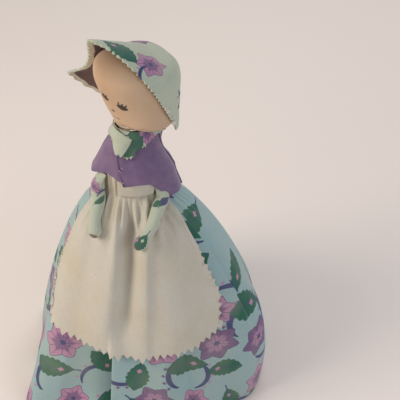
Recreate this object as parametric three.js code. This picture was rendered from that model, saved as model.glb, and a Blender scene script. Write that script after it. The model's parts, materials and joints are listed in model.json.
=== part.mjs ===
// Standing cloth doll: stuffed muslin body, gathered print skirt, pleated apron, felt cape and bonnet.
// Millimetres, +Z up, the doll looks toward -Y, and it stands on z = 0 with the origin under its middle.
// Left and right are the doll's own: its left side is +X.
import * as THREE from "three";

// Cloths and fits
const COTTON = 0.7;
const MUSLIN = 0.6;
const FELT = 1;
const FIT = 0.3;
const LAYER_GAP = 0.7;

// Skirt
const HEM_RADIUS = 53.2;
const WAIST_RADIUS = 11.2;
const WAIST_HEIGHT = 95.5;
const SKIRT_TOP = 112.5;
const HIP_REACH = 10.5;
const HEM_FLARE = 11.5;
const HEM_RISE = 53;
const FOLD_COUNT = 8;
const FOLD_DEPTH = 2.4;
const FOLD_PHASE = 2.8;
const FOLD_GROWTH = 1.2;
const HEM_CORNERS = [{ at: -49, spread: 11, reach: 13.5 }, { at: 57, spread: 9, reach: 5.5 }];
const SIDE_SWELL = { at: 78, spread: 37, reach: 8.2 };
const BODY_X = -6;
const BODY_Y = -2;

// Body bag and base
const CARD = 1.5;
const BAG_EASE = 1.2;
const CHEST_RADIUS = 9.2;
const CHEST_HEIGHT = 116.5;
const SHOULDER_RADIUS = 5.6;
const SHOULDER_HEIGHT = 123.5;
const SHOULDER_SLOPE = 0.75;

// Apron
const APRON_CENTRE = -6.5;
const APRON_HALF_ANGLE = 63.5;
const APRON_HEM = 0.715;
const APRON_CORNER = 0.02;
const APRON_ROUND = 0.15;
const APRON_TEETH = 22;
const TOOTH = 0.012;
const PLEAT_COUNT = 9;
const PLEAT_DEPTH = 1.1;
const BAND_HEIGHT = 5.5;
const BAND_CENTRE = 10;
const BAND_HALF_ANGLE = 26;

// Cape
const CAPE_NECK_RADIUS = 6.5;
const CAPE_NECK_HEIGHT = 125;
const CAPE_HEM_HEIGHT = 109;
const CAPE_RIGHT_FLARE = 0.6;
const CAPE_LEFT_FLARE = 4;
const CAPE_RIGHT_DROP = 1;
const CAPE_LEFT_DROP = 9;
const CAPE_RIGHT_CORNER = -64;
const CAPE_LEFT_CORNER = 76;
const CAPE_CORNER_SPREAD = 24;
const CAPE_SIDE_SEAM = 18;
const CAPE_SEAM = 1.5;
const CAPE_NECK_OPENING = -28;
const CAPE_HEM_OPENING = 5.5;
const CAPE_LAP = 10;

// Kerchief
const KERCHIEF_LENGTH = 3;
const KERCHIEF_FALL = 3.4;
const KERCHIEF_CENTRE = 4;
const KERCHIEF_SPREAD = 24;
const KERCHIEF_RISE = 0.6;
const FLAP_PLACE = -22;
const FLAP_TOP_WIDTH = 12;
const FLAP_WIDTH = 34;

// Neck and head
const NECK_RADIUS = 3.6;
const NECK_DEPTH = 12;
const NOD_HEIGHT = 129.5;
const HEAD_RADIUS = 13.5;
const HEAD_HEIGHT = 142;
const HEAD_CROWN = 12.8;
const CHIN_DEPTH = 12.9;
const JAW_TAPER = 0.5;
const NECK_SLEEVE = 2.7;
const HEAD_SET_BACK = 2;
const HEAD_TURN = -40;
const NECK_PLAY = 0.9;

// Bonnet, measured from the middle of the head
const BONNET_HALF_WIDTH = 14.9;
const BONNET_TOP = 15;
const BONNET_DROP = 14.5;
const BONNET_BACK = 15;
const BONNET_TURN = -14;
const BONNET_PLAN = 2.3;
const BONNET_CREASE = 12;
const BRIM_REACH = 15;
const BRIM_JAW = -9;
const BRIM_RISE = 4.4;
const NEAR_SLANT = 0.85;
const FAR_SLANT = 1.9;
const WING_REACH = 13;
const WING_FLARE = 7;

// Arms
const ARM_RADIUS = 2.6;
const WRIST_RADIUS = 2.2;
const RIGHT_ARM = { top: -52, height: 105.5, hand: -32, reach: 0.288 };
const LEFT_ARM = { top: 52, height: 101.5, hand: 4, reach: 0.297 };
const ARM_SWELL = 0.08;
const HAND_START = 0.86;

// Threads
const THREAD = 0.5;
const THREAD_PITCH = 1;
const THREAD_TURNS = 2;
const threadRoom = THREAD + THREAD_PITCH * THREAD_TURNS + 2 * FIT;

const TURN = 2 * Math.PI;
const radians = THREE.MathUtils.degToRad;
const lerp = THREE.MathUtils.lerp;
const smooth = THREE.MathUtils.smoothstep;
const bump = (angle, centre, width) => Math.exp(-(((angle - radians(centre)) / radians(width)) ** 2));

// Materials
const cloth = (color) => new THREE.MeshStandardMaterial({ color, roughness: 0.95, metalness: 0 });
const printCotton = cloth(0xa9c4bb);
const creamMuslin = cloth(0xd6cbb4);
const faceMuslin = cloth(0xcdb08a);
const purpleFelt = cloth(0x75608a);
const wadding = cloth(0xe8e4da);
const threadCotton = cloth(0xf0ece0);
const card = cloth(0x9a8260);

// A closed mesh from vertices and faces, turned so that its faces point outwards
function solid(vertices, faces) {
  let volume = 0;
  for (const [a, b, c] of faces) {
    const cross = new THREE.Vector3().crossVectors(vertices[b], vertices[c]);
    volume += vertices[a].dot(cross);
  }
  const turned = volume < 0 ? faces.map(([a, b, c]) => [a, c, b]) : faces;
  const geometry = new THREE.BufferGeometry();
  geometry.setAttribute("position", new THREE.Float32BufferAttribute(vertices.flatMap((v) => v.toArray()), 3));
  geometry.setIndex(turned.flat());
  geometry.computeVertexNormals();
  return geometry;
}

// Two triangles between neighbouring points of two rows
const quad = (a, b, c, d) => [[a, b, c], [a, c, d]];

// Rings joined one after another; a loop joins the last ring to the first, otherwise both ends are capped
function loft(rings, loop) {
  const sides = rings[0].length;
  const vertices = rings.flat();
  const faces = [];
  const spans = loop ? rings.length : rings.length - 1;
  for (let i = 0; i < spans; i += 1) {
    const here = i * sides;
    const next = ((i + 1) % rings.length) * sides;
    for (let j = 0; j < sides; j += 1) {
      const k = (j + 1) % sides;
      faces.push(...quad(here + j, here + k, next + k, next + j));
    }
  }
  if (!loop) {
    const last = (rings.length - 1) * sides;
    for (const [start, flip] of [[0, true], [last, false]]) {
      const middle = new THREE.Vector3();
      rings[start / sides].forEach((v) => middle.addScaledVector(v, 1 / sides));
      const centre = vertices.push(middle) - 1;
      for (let j = 0; j < sides; j += 1) {
        const k = (j + 1) % sides;
        faces.push(flip ? [start + k, start + j, centre] : [start + j, start + k, centre]);
      }
    }
  }
  return solid(vertices, faces);
}

// A piece of cloth with edges: an outer and an inner grid of rows, closed along its four edges
function sheet(outer, inner) {
  const rows = outer.length;
  const columns = outer[0].length;
  const back = rows * columns;
  const vertices = [...outer.flat(), ...inner.flat()];
  const faces = [];
  const at = (i, j) => i * columns + j;
  for (let i = 0; i < rows - 1; i += 1) {
    for (let j = 0; j < columns - 1; j += 1) {
      faces.push(...quad(at(i, j), at(i, j + 1), at(i + 1, j + 1), at(i + 1, j)));
      faces.push(...quad(back + at(i + 1, j), back + at(i + 1, j + 1), back + at(i, j + 1), back + at(i, j)));
    }
  }
  const edge = [];
  for (let j = 0; j < columns - 1; j += 1) edge.push(at(0, j));
  for (let i = 0; i < rows - 1; i += 1) edge.push(at(i, columns - 1));
  for (let j = columns - 1; j > 0; j -= 1) edge.push(at(rows - 1, j));
  for (let i = rows - 1; i > 0; i -= 1) edge.push(at(i, 0));
  edge.forEach((p, n) => {
    const q = edge[(n + 1) % edge.length];
    faces.push(...quad(q, p, back + p, back + q));
  });
  return solid(vertices, faces);
}

const steps = (count) => Array.from({ length: count + 1 }, (_, i) => i / count);
const grid = (rows, columns, point) => steps(rows).map((v) => steps(columns).map((u) => point(u, v)));
const ring = (sides, point) => Array.from({ length: sides }, (_, i) => point((TURN * i) / sides));

// A point at an angle from the front, round an upright axis
const around = (angle, radius, height, x = BODY_X, y = BODY_Y) =>
  new THREE.Vector3(x + radius * Math.sin(angle), y - radius * Math.cos(angle), height);

// A round tube along a path, with a radius for each place on it
function tube(path, count, sides, radiusAt) {
  const frames = path.computeFrenetFrames(count, false);
  return steps(count).map((t, i) => ring(sides, (angle) => {
    const offset = frames.normals[i].clone().multiplyScalar(Math.cos(angle));
    offset.addScaledVector(frames.binormals[i], Math.sin(angle));
    return path.getPoint(t).addScaledVector(offset, radiusAt(t));
  }));
}

function part(name, geometry, material) {
  const mesh = new THREE.Mesh(geometry, material);
  mesh.name = name;
  return mesh;
}

// Skirt: a dome over the hips that flares to the hem, with broad folds that deepen downwards
const SKIRT_SIDES = 56;
const SKIRT_ROWS = 9;
const skirtProfile = new THREE.CubicBezierCurve(
  new THREE.Vector2(WAIST_RADIUS, WAIST_HEIGHT),
  new THREE.Vector2(WAIST_RADIUS + HIP_REACH, WAIST_HEIGHT),
  new THREE.Vector2(HEM_RADIUS - HEM_FLARE, HEM_RISE),
  new THREE.Vector2(HEM_RADIUS, 0),
);

const wrapped = (angle) => Math.atan2(Math.sin(angle), Math.cos(angle));
const near = (angle, { at, spread }) => bump(wrapped(angle - radians(at)), 0, spread);

// Broad folds that deepen to the hem, two corners that stand out there and a swell at the doll's left side
function fold(angle, s) {
  const main = 0.75 * Math.cos(FOLD_COUNT * angle + FOLD_PHASE);
  const slow = 0.25 * Math.cos((FOLD_COUNT / 2) * angle - 2 * FOLD_PHASE);
  let swing = FOLD_DEPTH * s ** FOLD_GROWTH * (main + slow);
  for (const corner of HEM_CORNERS) swing += corner.reach * s ** 3 * near(angle, corner);
  return swing + SIDE_SWELL.reach * 4 * s ** 2 * (1 - s ** 2) * near(angle, SIDE_SWELL);
}

// A point of the skirt: s runs from waist to hem, lift is measured outwards from its outer face
function skirtPoint(angle, s, lift, folds = 1) {
  const at = skirtProfile.getPoint(s);
  const along = skirtProfile.getTangent(s);
  const radius = at.x + folds * fold(angle, s) - along.y * lift;
  const height = at.y + along.x * lift * (1 - s);
  return around(angle, radius, height, BODY_X * (1 - s), BODY_Y * (1 - s));
}

function skirt() {
  const face = (lift, collarRadius) => [
    ring(SKIRT_SIDES, (angle) => around(angle, collarRadius, SKIRT_TOP)),
    ...steps(SKIRT_ROWS).map((s) => ring(SKIRT_SIDES, (angle) => skirtPoint(angle, s, lift))),
  ];
  const outer = face(0, WAIST_RADIUS);
  const inner = face(-COTTON, WAIST_RADIUS - COTTON);
  return part("skirt", loft([...outer, ...inner.reverse()], true), printCotton);
}

// Body bag: a flat-bottomed stuffed cone under the skirt, a waist, a swelling chest and a neck hole
const BAG_SIDES = 28;
const bagDepth = FOLD_DEPTH + COTTON + BAG_EASE;
const bagFoot = CARD + FIT;
const waistRadius = WAIST_RADIUS - COTTON - FIT;
const neckHole = NECK_RADIUS + FIT;
const neckFoot = SHOULDER_HEIGHT - NECK_DEPTH;
const slopeRadius = lerp(CHEST_RADIUS, SHOULDER_RADIUS, SHOULDER_SLOPE);
const slopeHeight = lerp(CHEST_HEIGHT, SHOULDER_HEIGHT, SHOULDER_SLOPE);

function bagRings(inset, foot) {
  const cone = [1, 0.85, 0.7, 0.55, 0.4, 0.25].map((s) => ring(BAG_SIDES, (angle) => {
    const at = skirtPoint(angle, s, -bagDepth - inset, 0);
    at.z = Math.max(at.z, foot);
    return at;
  }));
  const upper = [
    [waistRadius - inset, WAIST_HEIGHT - bagDepth],
    [waistRadius - inset, SKIRT_TOP],
    [CHEST_RADIUS - inset, CHEST_HEIGHT],
    [slopeRadius - inset, slopeHeight],
    [SHOULDER_RADIUS - inset, SHOULDER_HEIGHT - inset],
  ];
  return [...cone, ...upper.map(([r, z]) => ring(BAG_SIDES, (angle) => around(angle, r, z)))];
}

function bodyCloth() {
  const outer = bagRings(0, bagFoot);
  const inner = bagRings(MUSLIN, bagFoot);
  const lip = [SHOULDER_HEIGHT, SHOULDER_HEIGHT - MUSLIN];
  const hole = lip.map((z) => ring(BAG_SIDES, (angle) => around(angle, neckHole, z)));
  return part("body_cloth", loft([...outer, ...hole, ...inner.reverse()], true), creamMuslin);
}

function bodyStuffing() {
  const outer = bagRings(MUSLIN + FIT, bagFoot + 2 * FIT);
  const lip = [SHOULDER_HEIGHT - MUSLIN - FIT, neckFoot - FIT];
  const socket = lip.map((z) => ring(BAG_SIDES, (angle) => around(angle, neckHole, z)));
  return part("body_stuffing", loft([...outer, ...socket], false), wadding);
}

function baseDisc() {
  const radius = HEM_RADIUS - bagDepth;
  const rings = [0, CARD].map((z) => ring(SKIRT_SIDES, (angle) => around(angle, radius, z, 0, 0)));
  return part("base_disc", loft(rings, false), card);
}

// Apron: a fan of pleats that comes down from the band, lies on the skirt and ends in a pinked hem
const apronInside = WAIST_RADIUS + FIT;
const apronTop = SKIRT_TOP - threadRoom;
const bandBottom = apronTop - BAND_HEIGHT;
const APRON_COLUMN = 0.12;

function apronPoint(u, v, lift) {
  const side = 2 * u - 1;
  const down = Math.max(v - APRON_COLUMN, 0) / (1 - APRON_COLUMN);
  const half = APRON_HALF_ANGLE * (1 - APRON_ROUND * smooth(down, 0.7, 1) ** 2);
  const angle = radians(APRON_CENTRE + side * half);
  if (v < APRON_COLUMN) {
    const height = lerp(apronTop, WAIST_HEIGHT + LAYER_GAP + 1, v / APRON_COLUMN);
    return around(angle, apronInside + lift, height);
  }
  const tooth = Math.round(u * 2 * APRON_TEETH) % 2 ? TOOTH * smooth(down, 0.85, 1) : 0;
  const hem = APRON_HEM - APRON_CORNER * side ** 4 - tooth;
  const wave = 0.5 + 0.5 * Math.cos(PLEAT_COUNT * TURN * u);
  const pleat = PLEAT_DEPTH * (1 - 0.8 * down) * smooth(down, 0, 0.12) * wave;
  return skirtPoint(angle, lerp(0.03, hem, down), LAYER_GAP + pleat + lift);
}

function apronPanel() {
  const rows = [0, 0.06, 0.12, 0.2, 0.34, 0.5, 0.66, 0.82, 1];
  const face = (lift) => rows.map((v) => steps(2 * APRON_TEETH).map((u) => apronPoint(u, v, lift)));
  return part("apron_panel", sheet(face(MUSLIN), face(0)), creamMuslin);
}

const bandInside = apronInside + MUSLIN + FIT;
const bandOutside = bandInside + MUSLIN;

function apronBand() {
  const face = (radius) => grid(1, 10, (u, v) => {
    const angle = radians(BAND_CENTRE + (2 * u - 1) * BAND_HALF_ANGLE);
    return around(angle, radius, lerp(bandBottom, apronTop, v));
  });
  return part("apron_band", sheet(face(bandOutside), face(bandInside)), creamMuslin);
}

// Cape: felt cone from the neck to the hem, with corners that flare over the tops of the arms
const capeHemRadius = bandOutside + FIT + FELT + FIT;
const capeSlope = CAPE_NECK_HEIGHT - CAPE_HEM_HEIGHT;

function capePoint(angle, v, lift) {
  const right = bump(angle, CAPE_RIGHT_CORNER, CAPE_CORNER_SPREAD);
  const left = bump(angle, CAPE_LEFT_CORNER, CAPE_CORNER_SPREAD);
  const drop = CAPE_RIGHT_DROP * right + CAPE_LEFT_DROP * left;
  const flare = (CAPE_RIGHT_FLARE * right + CAPE_LEFT_FLARE * left) * v ** 2;
  const height = lerp(CAPE_NECK_HEIGHT, CAPE_HEM_HEIGHT - drop, v);
  const slope = Math.min((CAPE_NECK_HEIGHT - height) / capeSlope, 1);
  const radius = lerp(CAPE_NECK_RADIUS, capeHemRadius, slope) + flare + lift;
  return around(angle, radius, height);
}

const CAPE_ROWS = 6;
const CAPE_COLUMN = 11;

// A felt piece between two edges, each an angle for every place down the cape
function capePiece(name, from, to, lift) {
  const columns = Math.max(4, Math.round((to(1) - from(1)) / CAPE_COLUMN));
  const at = (u, v, depth) => {
    const degrees = lerp(from(v), to(v), u);
    return capePoint(radians(degrees), v, lift(degrees, v) - depth);
  };
  const face = (depth) => grid(CAPE_ROWS, columns, (u, v) => at(u, v, depth));
  return part(name, sheet(face(0), face(FELT)), purpleFelt);
}

// The doll's left front laps over the right one on a slant; the back piece closes the ring at the side seams
const opening = (v) => lerp(CAPE_NECK_OPENING, CAPE_HEM_OPENING, v);
const leftSeam = () => CAPE_LEFT_CORNER + CAPE_SIDE_SEAM;
const rightSeam = () => CAPE_RIGHT_CORNER - CAPE_SIDE_SEAM;
const lapRise = (degrees, v) => (FELT + 2 * FIT) * (1 - smooth(degrees, opening(v), opening(v) + CAPE_LAP));
const flat = () => 0;
const fullTurn = THREE.MathUtils.radToDeg(TURN);
const capePieces = [
  capePiece("cape_front_left", (v) => opening(v) - CAPE_LAP, leftSeam, lapRise),
  capePiece("cape_front_right", rightSeam, (v) => opening(v) - CAPE_SEAM, flat),
  capePiece("cape_back", () => leftSeam() + CAPE_SEAM, () => fullTurn + rightSeam() - CAPE_SEAM, flat),
];

// Kerchief: a collar of print cloth on the cape, with a fall in front
const KERCHIEF_SIDES = 40;

// The kerchief rises over the lap of the cape, in the middle of the part of it that it covers
const lapMiddle = opening(KERCHIEF_LENGTH / capeSlope) - CAPE_LAP / 2;
const LAP_SPREAD = 26;
const LAP_EASE = 1.3;

function kerchiefPoint(angle, v, lift) {
  const turn = wrapped(angle);
  const fall = KERCHIEF_FALL * bump(turn, KERCHIEF_CENTRE, KERCHIEF_SPREAD);
  const down = v * (KERCHIEF_LENGTH + fall) / capeSlope;
  const lap = LAP_EASE * (FELT + 2 * FIT) * bump(turn, lapMiddle, LAP_SPREAD);
  const at = capePoint(turn, down, 2 * FIT + lap + lift);
  at.z += KERCHIEF_RISE * (1 - v);
  return at;
}

function neckerchief() {
  const face = (lift) => steps(4).map((v) => ring(KERCHIEF_SIDES, (angle) => kerchiefPoint(angle, v, lift)));
  return part("neckerchief", loft([...face(COTTON), ...face(0).reverse()], true), printCotton);
}

// Folded end of the kerchief: a pointed flap on the doll's right of the fall
function kerchiefEnd() {
  const at = (u, v, lift) => {
    const width = lerp(FLAP_TOP_WIDTH, FLAP_WIDTH, Math.sin(Math.PI * Math.min(v + 0.1, 0.75)));
    const angle = radians(FLAP_PLACE + (u - 0.5) * width);
    return kerchiefPoint(angle, lerp(0.1, 0.95, v), COTTON + FIT + lift);
  };
  const face = (lift) => grid(4, 4, (u, v) => at(u, v, lift));
  return part("kerchief_end", sheet(face(COTTON), face(0)), printCotton);
}

// Neck roll: its foot stands in the body, its round top carries the head
function neckRoll() {
  const dome = steps(4).slice(0, 4).map((t) => {
    const turn = (t * Math.PI) / 2;
    return [NECK_RADIUS * Math.cos(turn), NOD_HEIGHT + NECK_RADIUS * Math.sin(turn)];
  });
  const profile = [[NECK_RADIUS, neckFoot], ...dome];
  const rings = profile.map(([r, z]) => ring(16, (angle) => around(angle, r, z)));
  return part("neck_roll", loft(rings, false), creamMuslin);
}

// Head: an egg of wadding in muslin, drawn in to a short neck sleeve
const HEAD_SIDES = 24;
const STUFFING_END = 0.66;
const sleeveRadius = NECK_RADIUS + NECK_PLAY + MUSLIN;
const sleeveFoot = HEAD_HEIGHT - CHIN_DEPTH - NECK_SLEEVE;
const socketTop = NECK_RADIUS + 2 * FIT;

function headProfile(inset, jawEnd = 1) {
  const points = [];
  for (const t of steps(6).slice(0, 6)) {
    const rise = ((1 - t) * Math.PI) / 2;
    points.push([(HEAD_RADIUS - inset) * Math.cos(rise), HEAD_HEIGHT + (HEAD_CROWN - inset) * Math.sin(rise)]);
  }
  for (const t of steps(5)) {
    const sink = (t * jawEnd * Math.PI) / 2;
    const radius = sleeveRadius + (HEAD_RADIUS - sleeveRadius) * Math.cos(sink) ** JAW_TAPER;
    points.push([radius - inset, HEAD_HEIGHT - (CHIN_DEPTH - inset) * Math.sin(sink)]);
  }
  return points.slice(1);
}

// The head sits a little behind the axis of its neck
const setBack = (z) => HEAD_SET_BACK * smooth(z, NOD_HEIGHT, HEAD_HEIGHT);
const headRing = ([r, z]) => ring(HEAD_SIDES, (angle) => around(angle, r, z, 0, setBack(z)));
const socketRing = ([r, z]) => ring(HEAD_SIDES, (angle) => around(angle, r, z, 0, 0));

function faceCloth() {
  const outer = [...headProfile(0), [sleeveRadius, sleeveFoot]].map(headRing);
  const inner = [...headProfile(MUSLIN), [sleeveRadius - MUSLIN, sleeveFoot]].map(headRing);
  return part("face_cloth", loft([...outer, ...inner.reverse()], false), faceMuslin);
}

function headStuffing() {
  const profile = headProfile(MUSLIN + 2 * FIT, STUFFING_END);
  const socket = [[neckHole + NECK_PLAY, profile.at(-1)[1]], [neckHole, NOD_HEIGHT + NECK_PLAY]];
  for (const t of steps(3).slice(1, 3)) {
    const turn = (t * Math.PI) / 2;
    socket.push([socketTop * Math.cos(turn), NOD_HEIGHT + socketTop * Math.sin(turn)]);
  }
  return part("head_stuffing", loft([...profile.map(headRing), ...socket.map(socketRing)], false), wadding);
}

// Bonnet: arch sections that close in at the back, with a slanting front edge flared on the doll's right
const BONNET_ROWS = 9;
const BONNET_COLUMNS = 28;
const BACK_SEAM = 0.997;
const ARCH = 0.56;
const SPRING = 2;
const WING_PLACE = 0.76;
const WING_SPREAD = 0.14;
const rounding = (depth, power) => (1 - depth ** power) ** (1 / power);

function bonnetPoint(u, v) {
  const side = 2 * u - 1;
  const over = Math.min(Math.abs(side) / ARCH, 1) * (Math.PI / 2);
  const below = Math.max(Math.abs(side) - ARCH, 0) / (1 - ARCH);
  const wing = (spread) => Math.exp(-(((side + WING_PLACE) / spread) ** 2));
  const slant = (BRIM_REACH - BRIM_JAW) * Math.abs(side) ** (side > 0 ? NEAR_SLANT : FAR_SLANT);
  const front = BRIM_REACH - slant + WING_REACH * wing(1.5 * WING_SPREAD);
  const forward = lerp(-BONNET_BACK, front, v ** 1.5);
  const depth = Math.min(Math.max(-forward / BONNET_BACK, 0), BACK_SEAM);
  const flare = WING_FLARE * wing(WING_SPREAD) * smooth(v, 0.55, 1);
  const top = BONNET_TOP + (BRIM_RISE * forward) / BRIM_REACH;
  const height = below > 0 ? lerp(SPRING, -BONNET_DROP, below) : SPRING + (top - SPRING) * Math.cos(over);
  const across = Math.sign(side) * BONNET_HALF_WIDTH * Math.sin(over) * rounding(depth, BONNET_PLAN) - flare;
  return new THREE.Vector3(across, -forward, lerp(-BONNET_DROP, height, rounding(depth, BONNET_CREASE)));
}

// The outward direction of a surface at a place, by small steps along it
function outward(surface, u, v) {
  const step = 0.01;
  const alongU = surface(Math.min(u + step, 1), v).sub(surface(Math.max(u - step, 0), v));
  const alongV = surface(u, Math.min(v + step, 1)).sub(surface(u, Math.max(v - step, 0)));
  return alongV.cross(alongU).normalize();
}

function bonnet() {
  const outer = grid(BONNET_ROWS, BONNET_COLUMNS, (u, v) => bonnetPoint(u, v));
  const inner = grid(BONNET_ROWS, BONNET_COLUMNS, (u, v) => {
    return bonnetPoint(u, v).addScaledVector(outward(bonnetPoint, u, v), -COTTON);
  });
  const upright = new THREE.Vector3(0, 0, 1);
  const seat = new THREE.Vector3(0, HEAD_SET_BACK, HEAD_HEIGHT);
  const place = (p) => p.applyAxisAngle(upright, radians(BONNET_TURN)).add(seat);
  const seated = (rows) => rows.map((row) => row.map(place));
  return part("bonnet", sheet(seated(outer), seated(inner)), printCotton);
}

// Arms: stuffed sleeves, sewn on under the corners of the cape and lying on the apron
const ARM_STEPS = 14;
const armLift = LAYER_GAP + PLEAT_DEPTH + MUSLIN + FIT + ARM_RADIUS;
const armTopRadius = apronInside + MUSLIN + FIT + ARM_RADIUS;

function armPath({ top, height, hand, reach }) {
  const turnTo = (t) => radians(lerp(top, hand, t));
  const laid = [0.35, 0.7, 1].map((t) => skirtPoint(turnTo(t), reach * t, armLift));
  return new THREE.CatmullRomCurve3([around(radians(top), armTopRadius, height), ...laid]);
}

function armSleeve(name, arm) {
  const path = armPath(arm);
  const width = (t) => lerp(ARM_RADIUS, WRIST_RADIUS, t) * (1 + ARM_SWELL * Math.sin(Math.PI * t));
  const past = (t) => Math.max(t - HAND_START, 0) / (1 - HAND_START);
  const hand = (t) => Math.sqrt(Math.max(1 - past(t) ** 2, 0.05));
  const outer = tube(path, ARM_STEPS, 10, (t) => width(t) * hand(t));
  const inner = tube(path, ARM_STEPS, 10, (t) => (width(t) - COTTON) * hand(t)).slice(0, ARM_STEPS);
  return part(name, loft([...outer.reverse(), ...inner], false), printCotton);
}

function armRoll(name, arm) {
  const path = armPath(arm);
  const width = (t) => lerp(ARM_RADIUS, WRIST_RADIUS, t) - COTTON - FIT;
  const rings = tube(path, ARM_STEPS, 8, width).slice(0, ARM_STEPS - 2);
  return part(name, loft(rings, false), wadding);
}

// Windings: one unbroken thread each, whose least gap to itself is measured and printed
function winding(name, radius, foot, x, y) {
  const points = steps(24 * THREAD_TURNS).map((t) => {
    const angle = TURN * THREAD_TURNS * t;
    return around(angle, radius + THREAD / 2, foot + THREAD / 2 + THREAD_PITCH * THREAD_TURNS * t, x, y);
  });
  let least = Infinity;
  points.forEach((p, i) => points.slice(i + 12).forEach((q) => {
    least = Math.min(least, p.distanceTo(q) - THREAD);
  }));
  console.log(`${name}: least gap to itself ${least.toFixed(2)} mm`);
  const path = new THREE.CatmullRomCurve3(points);
  return part(name, loft(tube(path, 24 * THREAD_TURNS, 6, () => THREAD / 2), false), threadCotton);
}

const head = new THREE.Group();
head.position.set(BODY_X, BODY_Y, 0);
head.rotation.z = radians(HEAD_TURN);
head.add(
  faceCloth(),
  headStuffing(),
  winding("neck_thread", sleeveRadius + FIT, sleeveFoot, 0, 0),
  bonnet(),
);

const doll = new THREE.Group();
doll.add(
  baseDisc(),
  bodyCloth(),
  bodyStuffing(),
  skirt(),
  winding("skirt_thread", WAIST_RADIUS + FIT, SKIRT_TOP - threadRoom + FIT, BODY_X, BODY_Y),
  apronPanel(),
  apronBand(),
  ...capePieces,
  neckerchief(),
  kerchiefEnd(),
  neckRoll(),
  head,
  armSleeve("left_sleeve", LEFT_ARM),
  armRoll("left_arm_roll", LEFT_ARM),
  armSleeve("right_sleeve", RIGHT_ARM),
  armRoll("right_arm_roll", RIGHT_ARM),
);

export default doll;
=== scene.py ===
"""Dresses a packed cloth doll: skirt, apron, felt cape, kerchief, stuffed head, bonnet and arms."""
import json

import bmesh
import bpy
import numpy as np
from bpy.props import FloatProperty, FloatVectorProperty, IntProperty, PointerProperty
from mathutils import Matrix, Vector


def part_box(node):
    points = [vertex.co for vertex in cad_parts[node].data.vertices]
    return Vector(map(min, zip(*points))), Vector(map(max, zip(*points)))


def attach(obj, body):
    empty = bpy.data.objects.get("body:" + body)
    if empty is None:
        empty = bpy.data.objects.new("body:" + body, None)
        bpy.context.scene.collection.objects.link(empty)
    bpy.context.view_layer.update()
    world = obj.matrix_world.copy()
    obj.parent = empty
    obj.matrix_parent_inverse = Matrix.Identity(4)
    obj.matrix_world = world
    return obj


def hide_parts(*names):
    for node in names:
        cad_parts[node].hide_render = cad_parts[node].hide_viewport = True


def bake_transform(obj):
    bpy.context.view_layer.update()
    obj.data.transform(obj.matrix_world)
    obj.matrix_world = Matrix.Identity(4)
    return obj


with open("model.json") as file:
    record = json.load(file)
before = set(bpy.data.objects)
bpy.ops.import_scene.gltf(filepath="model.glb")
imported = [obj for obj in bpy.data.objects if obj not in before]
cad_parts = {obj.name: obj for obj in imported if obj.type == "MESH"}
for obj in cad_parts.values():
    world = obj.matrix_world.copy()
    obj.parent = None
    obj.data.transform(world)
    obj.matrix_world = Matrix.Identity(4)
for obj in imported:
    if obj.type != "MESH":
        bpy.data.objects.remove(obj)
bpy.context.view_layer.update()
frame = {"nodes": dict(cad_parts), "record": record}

bl_info = {
    "name": "Cloth Doll",
    "version": (1, 0, 0),
    "blender": (4, 5, 0),
    "location": "View3D > Sidebar > Doll",
    "description": "Builds the cloth, felt and stuffed pieces of a standing doll around its frame",
    "category": "Object",
}

MM = 0.001
TURN = 2 * np.pi

# Places that come from the frame, in millimetres
NECK_AXIS = np.array(frame["record"]["behaviour"]["joints"][0]["pos_m"]) / MM
BODY_X, BODY_Y = NECK_AXIS[:2]
SKIRT_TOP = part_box("skirt")[1][2] / MM
APRON_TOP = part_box("apron_panel")[1][2] / MM
BAND_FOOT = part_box("apron_band")[0][2] / MM
SLEEVE_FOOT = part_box("face_cloth")[0][2] / MM

# Cloths and fits, in millimetres
COTTON = 0.7
MUSLIN = 0.6
FELT = 1.0
FIT = 0.3
LAYER_GAP = 0.7
WRINKLE = 0.12


def linear(code):
    """Colour of a hex code as scene-linear red, green and blue."""
    channels = np.array([int(code[i:i + 2], 16) for i in (0, 2, 4)]) / 255
    return tuple(np.where(channels < 0.04045, channels / 12.92, ((channels + 0.055) / 1.055) ** 2.4))


def linear_tint(code):
    """Colour of a hex code with full alpha."""
    return (*linear(code), 1.0)


def length(name, millimetres, text):
    """Setting of a length that is given in millimetres."""
    return FloatProperty(name=name, description=text, default=millimetres * MM, unit="LENGTH", precision=5)


def degrees(name, value, text):
    """Setting of an angle that is given in degrees."""
    return FloatProperty(name=name, description=text, default=np.radians(value), subtype="ANGLE")


def colour(name, code, text):
    """Setting of a colour that is given as a hex code."""
    return FloatVectorProperty(name=name, description=text, default=linear(code), subtype="COLOR",
                               min=0, max=1)


class DollSizes(bpy.types.PropertyGroup):
    """Sizes that a maker would change."""
    hem_radius: length("Hem radius", 53.2, "Radius of the skirt at the hem, between its folds")
    waist_radius: length("Waist radius", 11.2, "Radius of the gathered waist")
    waist_height: length("Waist height", 95.5, "Height at which the skirt leaves the waist")
    hip_reach: length("Hip reach", 10.5, "How far the skirt runs out level from the waist")
    hem_flare: length("Hem flare", 11.5, "How far the hem flares outwards")
    hem_rise: length("Hem rise", 53, "Height over which the hem flares")
    fold_depth: length("Fold depth", 2.4, "Depth of the broad folds at the hem")
    fold_count: IntProperty(name="Folds", description="Broad folds round the hem", default=8, min=2)
    head_height: length("Head height", 142, "Height of the middle of the head")
    head_turn: degrees("Head turn", -40, "Turn of the head from the front")
    bonnet_turn: degrees("Bonnet turn", -14, "Turn of the bonnet on the head")
    arm_radius: length("Arm radius", 2.6, "Radius of a stuffed sleeve at its top")
    wrist_radius: length("Wrist radius", 2.2, "Radius of a stuffed sleeve at its hand")


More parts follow.
